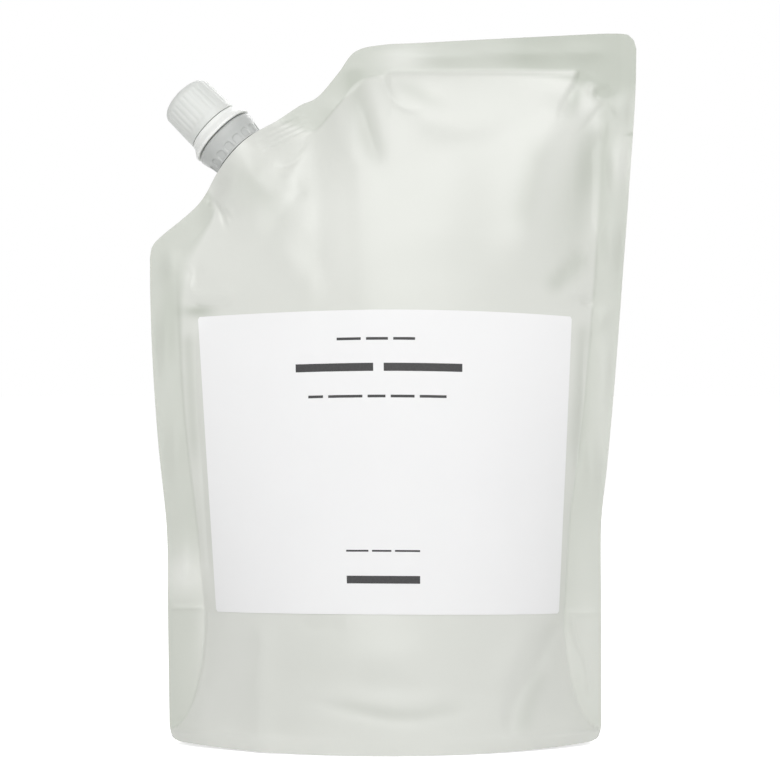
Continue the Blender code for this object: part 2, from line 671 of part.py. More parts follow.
def build_label(parts, finish):
    """A thin sheet that follows the front panel."""
    shape = bmesh.new()
    rows = []
    for row in range(LABEL_ROWS + 1):
        up = row / LABEL_ROWS
        left = Vector(LABEL_BOTTOM_LEFT).lerp(Vector(LABEL_TOP_LEFT), up)
        right = Vector(LABEL_BOTTOM_RIGHT).lerp(Vector(LABEL_TOP_RIGHT), up)
        line = []
        for column in range(LABEL_COLUMNS + 1):
            share = column / LABEL_COLUMNS
            point = left.lerp(right, share)
            x = point.x
            z = point.y + LABEL_ARCH * (1.0 - (2.0 * share - 1.0) ** 2)
            rise = rise_at(x, z)
            slope_x = (rise_at(x + SLOPE_STEP, z) - rise) / SLOPE_STEP
            slope_z = (rise_at(x, z + SLOPE_STEP) - rise) / SLOPE_STEP
            offset = LABEL_GAP * math.sqrt(1.0 + slope_x ** 2 + slope_z ** 2)
            line.append(shape.verts.new(off_seam(Vector((x, z)), -rise - offset)))
        rows.append(line)
    for low, high in zip(rows, rows[1:]):
        for column in range(LABEL_COLUMNS):
            shape.faces.new((low[column], low[column + 1], high[column + 1], high[column]))
    mesh = bpy.data.meshes.new("front_label")
    shape.to_mesh(mesh)
    shape.free()
    label = place("front_label", mesh, finish, parts)
    solidify = label.modifiers.new("paper", "SOLIDIFY")
    solidify.thickness = LABEL_THICKNESS
    solidify.offset = 1.0
    smooth(label, SHARP_ANGLE)
    return label


def spout_holder(parts):
    """An empty at the film's edge, with its Z along the spout's axis and its X along the seal."""
    holder = bpy.data.objects.new("spout_axis", None)
    parts.objects.link(holder)
    front = SPOUT_OUT.cross(SPOUT_ALONG)
    turn = Matrix((SPOUT_ALONG, front, SPOUT_OUT)).transposed().to_4x4()
    holder.matrix_world = Matrix.Translation(SPOUT_SEAT) @ turn
    return holder


def main():
    clear_scene()
    parts = new_collection("refill_pouch")
    cutters = new_collection("cutters")
    film = material("film", FILM_COLOUR, FILM_ROUGHNESS)
    paper = material("paper", LABEL_COLOUR, LABEL_ROUGHNESS)
    cap_white = material("cap_white", CAP_COLOUR, CAP_ROUGHNESS)
    ring_white = material("ring_white", RING_COLOUR, CAP_ROUGHNESS)
    grey = material("grey_plastic", SPOUT_COLOUR, SPOUT_ROUGHNESS)
    foam = material("foam", WAD_COLOUR, WAD_ROUGHNESS)
    holder = spout_holder(parts)
    build_pouch(parts, cutters, film, holder)
    build_label(parts, paper)
    build_spout(parts, cutters, grey, holder)
    build_ring(parts, ring_white, holder)
    build_cap(parts, cap_white, holder)
    build_wad(parts, foam, holder)


main()
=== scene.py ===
"""Looks of the stand-up refill pouch: creased film, paper label, spout, tamper ring and ribbed cap.

Metres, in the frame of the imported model. Strokes on the front film are placed in pixels of the front view,
which is 780 pixels wide.
"""
import math

import bpy
import numpy as np
from mathutils import Matrix, Vector


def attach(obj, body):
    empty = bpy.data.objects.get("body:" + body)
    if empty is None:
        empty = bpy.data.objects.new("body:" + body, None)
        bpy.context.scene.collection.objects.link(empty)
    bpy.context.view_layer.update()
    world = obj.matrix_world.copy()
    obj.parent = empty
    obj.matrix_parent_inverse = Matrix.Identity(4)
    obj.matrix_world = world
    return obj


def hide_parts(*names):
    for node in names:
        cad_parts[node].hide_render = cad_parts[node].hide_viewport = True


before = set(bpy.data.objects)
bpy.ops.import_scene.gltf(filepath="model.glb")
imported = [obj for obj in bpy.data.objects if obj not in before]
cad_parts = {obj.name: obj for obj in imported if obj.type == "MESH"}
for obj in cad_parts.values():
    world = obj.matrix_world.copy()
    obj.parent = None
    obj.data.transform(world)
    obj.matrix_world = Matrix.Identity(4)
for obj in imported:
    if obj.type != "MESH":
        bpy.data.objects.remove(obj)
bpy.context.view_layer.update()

# Camera of the front view
CAMERA = (-0.00096, -1.0, 0.1354)
FOCAL_PX = 2607.0
HALF_PX = 390.0
SENSOR = 36.0

# Outline of the film in the seam plane: x across and z up
LEFT_EDGE = [(-0.0855, 0.0070), (-0.0862, 0.051), (-0.0867, 0.082), (-0.0901, 0.115),
             (-0.0924, 0.146), (-0.0935, 0.171), (-0.0938, 0.1865)]
RIGHT_EDGE = [(0.0801, 0.0070), (0.0801, 0.051), (0.0802, 0.084), (0.0826, 0.107),
              (0.0856, 0.139), (0.0894, 0.186), (0.0918, 0.216), (0.0942, 0.248), (0.0949, 0.2680)]
SHOULDER = [(-0.0938, 0.1865), (-0.0929, 0.1909), (-0.0893, 0.1950), (-0.0760, 0.2064)]
SLOPE_TO_TOP = [(-0.0365, 0.2456), (-0.0292, 0.2492), (-0.0213, 0.2584), (-0.0146, 0.2671),
                (-0.0040, 0.2698), (0.0120, 0.2706)]
TOP_RIGHT = [(0.0600, 0.2730), (0.0872, 0.2741), (0.0932, 0.2722), (0.0949, 0.2680)]
BASE_LEFT = LEFT_EDGE[0][0]
BASE_RIGHT = RIGHT_EDGE[0][0]
BASE_CORNER_RISE = 0.0014
BASE_CORNER_INSET = 0.0048

# Film, seals and gusset
FIN_THICKNESS = 0.0006
SIDE_SEAL = 0.0100
DIAGONAL_SEAL = 0.0115
TOP_SEAL_LINE = 0.2588
GUSSET_HEIGHT = 0.051
TAB_WIDTH = 0.0142
TAB_HEIGHT = 0.0455
SKIRT_HEIGHT = 0.008
SKIRT_THICKNESS = 0.0008
SKIRT_START = 0.0033
LEAST_SLOT = 0.0001
BELLY_LENGTH = 0.088
BELLY_WIDTH = 0.030
BELLY_SPREAD = 0.9
BASE_HALF_DEPTH = 0.0360
GUSSET_HALF_DEPTH = 0.0355
LOW_BULGE = 0.0012
LEAST_RISE = 1e-7
LEAST_HALF_CHORD = 1e-4
JOIN_POWER = 4
TAB_BLEND_POWER = 4
DEPTH_POWER = 0.6
DEPTH_SOFTENING = 0.03
LEAN_BACK = 0.20
CORNER_BEND = 0.75
CORNER_BEND_REACH = 0.050

# Gusset's underside: its middle fold and soft waves
BASE_GRID_ROWS = 41
BASE_FOLD_DEPTH = 0.0008
BASE_FOLD_WIDTH = 0.0012
BASE_FOLD_FADE = 0.6
BASE_WAVE_HEIGHT = 0.0005
BASE_WAVE_ACROSS = 520.0
BASE_WAVE_DEEP = 260.0
LEAST_CEILING = 0.002

# Where the panels part over the weld base
LEAST_OPENING = 0.00002
LID_OPENING = 0.0002
LID_FADE = 0.0015

# Spout, ring and cap, measured along the axis from the film's edge
SPOUT_X = -0.0588
SPOUT_Z = 0.2270
SPOUT_ANGLE = math.radians(45.0)
WELD_DEPTH = 0.0140
WELD_TOP = 0.0020
WELD_HALF_LENGTH = 0.0200
WELD_HALF_THICKNESS = 0.0110
WELD_FADE_START = 0.0040
WELD_FADE = 0.0480
WELD_SPREAD = 0.3
WELD_DROOP = 0.2
POCKET_CLEARANCE = 0.0003
FILM_OVER_WELD = 0.0007
FILM_PAST_WELD = 0.0015
COLLAR_RADIUS = 0.0132
COLLAR_TOP = 0.0096
COLLAR_EDGE = 0.0008
COLLAR_WIDEST_DROP = 0.0010
COLLAR_SIDE = [(0.0128, 0.0065), (0.0122, 0.0044), (0.0117, 0.0014), (0.0117, 0.0004)]
COLLAR_FOOT = 0.0004
NECK_RADIUS = 0.0086
NECK_EDGE = 0.0003
BORE_RADIUS = 0.0070
BEAD_RADIUS = 0.0096
BEAD_LOW = 0.0114
BEAD_HEIGHT = 0.0012
RUNNING_GAP = 0.0003
RING_LOW = 0.0100
RING_TOP = 0.0151
RING_FOOT_RADIUS = 0.0134
RING_TOP_RADIUS = 0.0112
RING_FLARE = 0.0004
RING_BAND = 0.0016
RING_RIM = 0.0010
CAP_LOW = 0.0154
CAP_TOP = 0.0340
CAP_BASE_RADIUS = 0.0111
CAP_SHOULDER_RADIUS = 0.0108
CAP_DOME = 0.0046
CAP_CROWN = 0.00015
CAP_FACE_DROP = 0.0006
CAP_FACE_RADIUS = 0.0045
CAP_WALL = 0.0014
CAP_TOP_WALL = 0.0016
CAP_BAND = 0.0024
RIB_COUNT = 28
RIB_DEPTH = 0.00016
SOLID_RIB_DEPTH = 0.0003
RIB_LOW_FADE = 0.0008
RIB_TOP_FADE = 0.0022
RIB_TOP_DROP = 0.0004
RIBBED_SKIN = 0.0009
WINDOW_COUNT = 16
WINDOW_RADIUS = 0.0119
WINDOW_LEAST_RADIUS = 0.0105
WINDOW_DEPTH = 0.00045
WINDOW_HALF_WIDTH = 0.00185
WINDOW_TOP = 0.0046
WINDOW_ARCH = 0.0016
WINDOW_LOW = 0.0008
WINDOW_SIDE_FADE = 0.0003
WINDOW_TOP_FADE = 0.0004
MOUTH = 0.0308
THREAD_LEAD = 0.0030
THREAD_START = 0.0195
THREAD_TURNS = 2.4
THREAD_RUN_OUT = 0.05
THREAD_LEAST = 0.02
THREAD_SECTION = [(-0.0001, -0.0008), (0.0005, -0.0003), (0.0005, 0.0002), (-0.0001, 0.0008)]

# Sampling of the turned pieces
AXIS_RADIUS = 0.00001
DOME_STEPS = 9
STEPS_PER_RIB = 10
STEPS_PER_WINDOW = 22
RING_STEPS = 160
THREAD_STEPS = 180
CAP_ROUNDING = 0.0004
FINE_ROUNDING = 0.0003
PROFILE_SPACING = 0.0006
SPOUT_SPACING = 0.00022
ROUNDING_SHARE = 0.4
SHARP_ANGLE = math.radians(50.0)

# Label, as its four corners lie in the seam plane
LABEL_TOP_LEFT = (-0.0748, 0.1632)
LABEL_TOP_RIGHT = (0.0688, 0.1632)
LABEL_BOTTOM_LEFT = (-0.0672, 0.0508)
LABEL_BOTTOM_RIGHT = (0.0636, 0.0499)
LABEL_ARCH = 0.0012
LABEL_OFFSET = 0.00018
LABEL_THICKNESS = 0.00012
LABEL_CORNER = 0.0006
LABEL_BACK_SHARE = 0.2
PRINT_HEIGHT = 0.00003
LABEL_ROWS = 121
LABEL_COLUMNS = 151
BAR_ROWS = 4
BAR_COLUMNS = 16
LOCATE_ROUNDS = 14

# Print as plain bars: each line's middle, half height and the spans of its words, in shares of the label
PRINT_LINES = [(0.903, 0.0045, [(0.372, 0.436), (0.450, 0.508), (0.522, 0.580)]),
               (0.808, 0.0135, [(0.260, 0.468), (0.496, 0.706)]),
               (0.711, 0.0045, [(0.292, 0.332), (0.346, 0.438), (0.452, 0.500), (0.514, 0.578),
                                (0.592, 0.664)]),
               (0.205, 0.0030, [(0.386, 0.448), (0.458, 0.512), (0.522, 0.592)]),
               (0.112, 0.0125, [(0.386, 0.592)])]

# Film tone, none over the soap and about one in a seal, higher for painted shade in folds and below none for
# painted
# highlights: the grey's share at none, what a tone of one adds to it, the limits of the tone and its value
# in the rear seals
PLAIN_MIX = 0.165
SEAL_MIX = 0.5875
LIGHTEST_TONE = -0.28
DARKEST_TONE = 1.7
REAR_TONE = 0.85

# Tone of the front seals by pixel rows and columns: more at the top, most near its right end; the extra at
# the top is painted shade on the top seal, less again at its very end
SEAL_TONE = 0.8
TOP_PAINTED_SHADE = 0.2
TOP_ROW = 105.0
TOP_FADE = 25.0
RIGHT_PAINTED_SHADE = 0.7
RIGHT_COLUMN = 480.0
RIGHT_FADE = 80.0
END_SHADE_DROP = 0.5
END_COLUMN = 605.0
END_FADE = 20.0

# Colours: each tint goes from a darker to a lighter one
FILM_TINTS = ((0.690, 0.701, 0.659), (0.754, 0.763, 0.724))
FILM_SEAL_AND_SHADE_GREY = (0.610, 0.640, 0.592, 1.0)
PAPER_TINTS = ((0.872, 0.872, 0.875), (0.888, 0.888, 0.890))
INK_TINTS = ((0.030, 0.030, 0.031), (0.045, 0.045, 0.046))
CAP_TINTS = ((0.695, 0.712, 0.686), (0.730, 0.747, 0.720))
# The ring's white is lighter than the cap's: painted light that lifts the shade falling on its flare
RING_TINTS_LIFTED_AGAINST_SHADE = ((0.860, 0.872, 0.845), (0.885, 0.897, 0.870))
SPOUT_TINTS = ((0.490, 0.505, 0.492), (0.528, 0.542, 0.528))
FOAM_TINTS = ((0.82, 0.82, 0.82), (0.87, 0.87, 0.87))
FULL_WHITE = (1.0, 1.0, 1.0, 1.0)
TINT_START = 0.35
TINT_END = 0.65
SCATTER_RADIUS = (0.002, 0.002, 0.0018)
SCATTER_SCALE = 1.0

# Studio; lights: name, place, the height aimed at over the origin, size and power
FLOOR_SIZE = 60.0
FLOOR_PLACE = (0.0, 20.0, -0.0002)
FLOOR_WHITE = (0.86, 0.86, 0.86, 1.0)
FLOOR_GLOW = 0.70
AMBIENT = 0.37
STUDIO_LIGHTS = [("key_light", (0.08, -1.30, 1.22), 0.13, (1.2, 1.0), 13.4),
                 ("front_light", (-0.05, -1.60, 0.30), 0.10, (0.9, 0.4), 2.8),
                 ("right_light", (1.25, -0.70, 0.45), 0.13, (0.5, 1.0), 1.1),
                 ("left_light", (-1.25, -0.75, 0.50), 0.13, (0.5, 1.0), 1.4),
                 ("back_light", (0.30, 1.50, 1.20), 0.13, (1.2, 0.9), 12.0)]

# Directions that grids face
FORWARD = (0, -1, 0)
BACKWARD = (0, 1, 0)
LEFTWARD = (-1, 0, 0)
RIGHTWARD = (1, 0, 0)
UPWARD = (0, 0, 1)
DOWNWARD = (0, 0, -1)
LEFT_AND_UP = (-1, 0, 1)


def smooth_step(value):
    held = np.clip(value, 0.0, 1.0)
    return held * held * (3.0 - 2.0 * held)


def shares(count):
    return np.linspace(0.0, 1.0, count)


# A smooth curve through points, read by its share of the length
class Path:
    SAMPLES = 16

    def __init__(self, points):
        points = np.asarray(points, float)
        knots = np.vstack([2.0 * points[0] - points[1], points, 2.0 * points[-1] - points[-2]])
        line = [points[0]]
        for index in range(1, len(knots) - 2):
            before, start, end, after = knots[index - 1:index + 3]
            for sample in range(1, self.SAMPLES + 1):
                t = sample / self.SAMPLES
                line.append(0.5 * (2.0 * start + (end - before) * t
                                   + (2.0 * before - 5.0 * start + 4.0 * end - after) * t ** 2
                                   + (3.0 * start - before - 3.0 * end + after) * t ** 3))
        self.line = np.array(line)
        steps = np.hypot(*np.diff(self.line, axis=0).T)
        self.lengths = np.concatenate([[0.0], np.cumsum(steps)])

    def at(self, share):
        length = np.asarray(share) * self.lengths[-1]
        return np.stack([np.interp(length, self.lengths, self.line[:, axis]) for axis in (0, 1)], axis=-1)

    def share_nearest(self, point):
        nearest = np.argmin(np.hypot(*(self.line - np.asarray(point)).T))
        return self.lengths[nearest] / self.lengths[-1]


OUT_IN_PLANE = np.array([-math.cos(SPOUT_ANGLE), math.sin(SPOUT_ANGLE)])
ALONG_IN_PLANE = np.array([math.sin(SPOUT_ANGLE), math.cos(SPOUT_ANGLE)])
SPOUT_IN_PLANE = np.array([SPOUT_X, SPOUT_Z])
BEND_START = SPOUT_IN_PLANE @ OUT_IN_PLANE - CORNER_BEND_REACH
FILM_HALF = WELD_HALF_THICKNESS + POCKET_CLEARANCE + FILM_OVER_WELD
FILM_HALF_LENGTH = WELD_HALF_LENGTH + FILM_PAST_WELD
EDGE_OVER_SPOUT = [tuple(SPOUT_IN_PLANE + reach * ALONG_IN_PLANE)
                   for reach in (-COLLAR_RADIUS, 0.0, COLLAR_RADIUS)]

left_edge = Path(LEFT_EDGE[1:])
right_edge = Path(RIGHT_EDGE[1:])
top_edge = Path(SHOULDER + EDGE_OVER_SPOUT + SLOPE_TO_TOP + TOP_RIGHT)
ACROSS_SPOUT = top_edge.share_nearest(SPOUT_IN_PLANE)
ACROSS_TOP = top_edge.share_nearest(SLOPE_TO_TOP[-1])


def seam_depth(point):
    past = np.maximum(point @ OUT_IN_PLANE - BEND_START, 0.0)
    return LEAN_BACK * point[..., 1] ** 2 + CORNER_BEND * past ** 2


def seam_slope(point):
    past = np.maximum(point @ OUT_IN_PLANE - BEND_START, 0.0)[..., None]
    lean = np.stack([np.zeros_like(point[..., 1]), 2.0 * LEAN_BACK * point[..., 1]], axis=-1)
    return lean + 2.0 * CORNER_BEND * past * OUT_IN_PLANE


def in_seam(direction, point):
    return Vector((direction[0], float(seam_slope(point) @ direction), direction[1])).normalized()


SPOUT_OUT = in_seam(OUT_IN_PLANE, SPOUT_IN_PLANE)
SPOUT_ALONG = in_seam(ALONG_IN_PLANE, SPOUT_IN_PLANE)
SPOUT_ALONG = (SPOUT_ALONG - SPOUT_ALONG.dot(SPOUT_OUT) * SPOUT_OUT).normalized()
SPOUT_SEAT = Vector((SPOUT_X, float(seam_depth(SPOUT_IN_PLANE)), SPOUT_Z))
SPOUT_FRAME = Matrix.Translation(SPOUT_SEAT) @ Matrix(
    (SPOUT_ALONG, SPOUT_OUT.cross(SPOUT_ALONG), SPOUT_OUT)).transposed().to_4x4()


def gusset_point(across):
    left, right = np.array(LEFT_EDGE[1]), np.array(RIGHT_EDGE[1])
    return left + (right - left) * across[..., None]


def from_base_end(x):
    return np.minimum(x - BASE_LEFT, BASE_RIGHT - x)


def base_edge(across):
    x = BASE_LEFT + (BASE_RIGHT - BASE_LEFT) * across
    from_end = from_base_end(x)
    corner_top = np.where(across < 0.5, LEFT_EDGE[0][1], RIGHT_EDGE[0][1])
    rise = BASE_CORNER_RISE * (1.0 - 2.0 * from_end / (BASE_RIGHT - BASE_LEFT)) ** 3
    share = np.clip(1.0 - from_end / BASE_CORNER_INSET, 0.0, 1.0)
    rise = rise + (corner_top - BASE_CORNER_RISE) * (1.0 - np.sqrt(1.0 - share ** 2))
    return np.stack([x, rise], axis=-1)


def sheet_point(across, level):
    """A point of the seam plane: level 0 is the skirt's edge, 1 the gusset's fold, 2 the top edge."""
    across, level = np.broadcast_arrays(np.asarray(across, float), np.asarray(level, float))
    fold = gusset_point(across)
    base = base_edge(across)
    low = base + (fold - base) * np.clip(level, 0.0, 1.0)[..., None]
    share = np.clip(level - 1.0, 0.0, 1.0)
    wide = share[..., None]
    middle = fold + (top_edge.at(across) - fold) * wide
    ends = [np.full_like(across, end) for end in (0.0, 1.0)]
    left_gap = left_edge.at(share) - (gusset_point(ends[0]) * (1.0 - wide) + top_edge.at(ends[0]) * wide)
    right_gap = right_edge.at(share) - (gusset_point(ends[1]) * (1.0 - wide) + top_edge.at(ends[1]) * wide)
    high = middle + (1.0 - across)[..., None] * left_gap + across[..., None] * right_gap
    return np.where((level <= 1.0)[..., None], low, high)


def side_places(level):
    """The x of the sheet's left and right edge."""
    return [sheet_point(np.full_like(level, end), level)[..., 0] for end in (0.0, 1.0)]


def seal_level(across):
    edge = top_edge.at(across)
    blend = smooth_step((across - ACROSS_SPOUT) / (ACROSS_TOP - ACROSS_SPOUT))
    drop = (1.0 - blend) * DIAGONAL_SEAL + blend * np.maximum(edge[..., 1] - TOP_SEAL_LINE, DIAGONAL_SEAL)
    return 2.0 - drop / (edge[..., 1] - GUSSET_HEIGHT)


def lens_rise(offset, half_chord, rise):
    rise = np.maximum(rise, LEAST_RISE)
    half_chord = np.maximum(half_chord, LEAST_HALF_CHORD)
    radius = (half_chord ** 2 + rise ** 2) / (2.0 * rise)
    inside = np.sqrt(np.maximum(radius ** 2 - offset ** 2, 0.0)) - (radius - rise)
    return np.where(np.abs(offset) < half_chord, np.maximum(inside, 0.0), 0.0)


def bell_rise(offset, half_length, rise):
    bell = 0.5 * rise * (1.0 + np.cos(np.pi * np.clip(offset / half_length, -1.0, 1.0)))
    return np.where(np.abs(offset) < half_length, bell, 0.0)


def chamber_rise(across, level):
    point = sheet_point(across, level)
    left_x, right_x = side_places(level)
    fall = np.clip((GUSSET_HEIGHT - point[..., 1]) / TAB_HEIGHT, 0.0, 1.0)
    low_inset = TAB_WIDTH * np.sqrt(1.0 - fall ** 2)
    low_depth = BASE_HALF_DEPTH + (GUSSET_HALF_DEPTH - BASE_HALF_DEPTH) * level
    low_depth = low_depth + LOW_BULGE * 4.0 * level * (1.0 - level)
    share = np.clip((level - 1.0) / (seal_level(across) - 1.0), 0.0, 1.0)
    high_inset = SIDE_SEAL + (TAB_WIDTH - SIDE_SEAL) * (1.0 - share) ** TAB_BLEND_POWER
    low_end, high_end = DEPTH_SOFTENING ** DEPTH_POWER, (1.0 + DEPTH_SOFTENING) ** DEPTH_POWER
    left_over = (1.0 - share + DEPTH_SOFTENING) ** DEPTH_POWER
    high_depth = GUSSET_HALF_DEPTH * (left_over - low_end) / (high_end - low_end)
    low = level <= 1.0
    inset = np.where(low, low_inset, high_inset)
    depth = np.where(low, low_depth, high_depth)
    return lens_rise(point[..., 0] - 0.5 * (left_x + right_x), 0.5 * (right_x - left_x) - inset, depth)


def weld_rise(point):
    offset = point - SPOUT_IN_PLANE
    inward = -(offset @ OUT_IN_PLANE)
    aside = offset @ ALONG_IN_PLANE
    fade = 1.0 - smooth_step((inward - WELD_FADE_START) / WELD_FADE)
    free = smooth_step(inward / WELD_DEPTH)
    half_length = FILM_HALF_LENGTH * (1.0 + WELD_SPREAD * free)
    return fade * bell_rise(aside, half_length, FILM_HALF * (1.0 - WELD_DROOP * free))


def film_rise(across, level):
    across, level = np.broadcast_arrays(np.asarray(across, float), np.asarray(level, float))
    chamber = chamber_rise(across, level)
    weld = weld_rise(sheet_point(across, level))
    return 0.5 * FIN_THICKNESS + (chamber ** JOIN_POWER + weld ** JOIN_POWER) ** (1.0 / JOIN_POWER)


def off_seam(point, rise):
    slope = seam_slope(point)
    square = np.stack([-slope[..., 0], np.ones_like(slope[..., 0]), -slope[..., 1]], axis=-1)
    square = square / np.linalg.norm(square, axis=-1, keepdims=True)
    flat = np.stack([point[..., 0], seam_depth(point), point[..., 1]], axis=-1)
    return flat + rise[..., None] * square


def to_picture(spots):
    """Pixels of the front view of points in space."""
    scale = FOCAL_PX / (spots[..., 1] - CAMERA[1])
    return HALF_PX + (spots[..., 0] - CAMERA[0]) * scale, HALF_PX - (spots[..., 2] - CAMERA[2]) * scale


# Strokes: each kind gives a height or a tone over places, which are pixels or millimetres
CHAIN_STEP = 3
SHORTEST_STEP = 1e-6
FAR_AWAY = 1e9
SOFT_ENDS = (0.3, 0.3)


def near(px, py, points):
    """Distance to a line through points, the same signed by its side, and the share along it."""
    chain = np.asarray(points, float)
    if len(points) > 2:
        chain = np.vstack([Path(points).line[::CHAIN_STEP], points[-1]])
    steps = np.diff(chain, axis=0)
    lengths = np.hypot(*steps.T)
    kept = lengths > SHORTEST_STEP
    starts, steps, lengths = chain[:-1][kept], steps[kept], lengths[kept]
    total = lengths.sum()
    best = np.full(px.shape, FAR_AWAY)
    side = np.zeros(px.shape)
    along = np.zeros(px.shape)
    passed = 0.0
    for start, step, length in zip(starts, steps, lengths):
        unit = step / length
        reach = np.clip((px - start[0]) * unit[0] + (py - start[1]) * unit[1], 0.0, length)
        off_x = px - start[0] - reach * unit[0]
        off_y = py - start[1] - reach * unit[1]
        distance = np.hypot(off_x, off_y)
        closer = distance < best
        best = np.where(closer, distance, best)
        side = np.where(closer, unit[0] * off_y - unit[1] * off_x, side)
        along = np.where(closer, (passed + reach) / total, along)
        passed += length
    return best, np.where(side >= 0.0, best, -best), along


def taper(along, ends):
    first, last = ends
    rise = smooth_step(along / first) if first > 0.0 else 1.0
    fall = smooth_step((1.0 - along) / last) if last > 0.0 else 1.0
    return rise * fall


def ridge(px, py, points, width, height, ends=SOFT_ENDS):
    distance, _, along = near(px, py, points)
    return height * np.exp(-(distance / width) ** 2) * taper(along, ends)


def crease(px, py, points, width, height, ends=SOFT_ENDS):
    distance, _, along = near(px, py, points)
    return height * np.exp(-distance / width) * taper(along, ends)


def ledge(px, py, points, width, reach, height, ends):
    """A step up on the right-hand side of the line, seen along it, which fades out over a reach."""
    _, side, along = near(px, py, points)
    up = 0.5 * (1.0 + np.tanh(side / width)) * np.exp(-np.maximum(side, 0.0) / reach)
    return height * up * taper(along, ends)


def dent(px, py, spot, radii, height, turn=0):
    angle = math.radians(turn)
    off_x, off_y = px - spot[0], py - spot[1]
    u = (off_x * math.cos(angle) + off_y * math.sin(angle)) / radii[0]
    v = (off_y * math.cos(angle) - off_x * math.sin(angle)) / radii[1]
    return height * np.exp(-(u * u + v * v))


# The weld's ribs along the slope, each a step from the one before
WELD_RIB_COUNT = 4
WELD_RIB_START = (254.0, 139.5)
WELD_RIB_STEP = (2.1, 4.6)
WELD_RIB_RUN = (54.0, -25.0)


def weld_rib(row):
    x, y = (start + step * row for start, step in zip(WELD_RIB_START, WELD_RIB_STEP))
    return ridge, [(x, y), (x + WELD_RIB_RUN[0], y + WELD_RIB_RUN[1])], 1.6, 0.5, (0.15, 0.2)


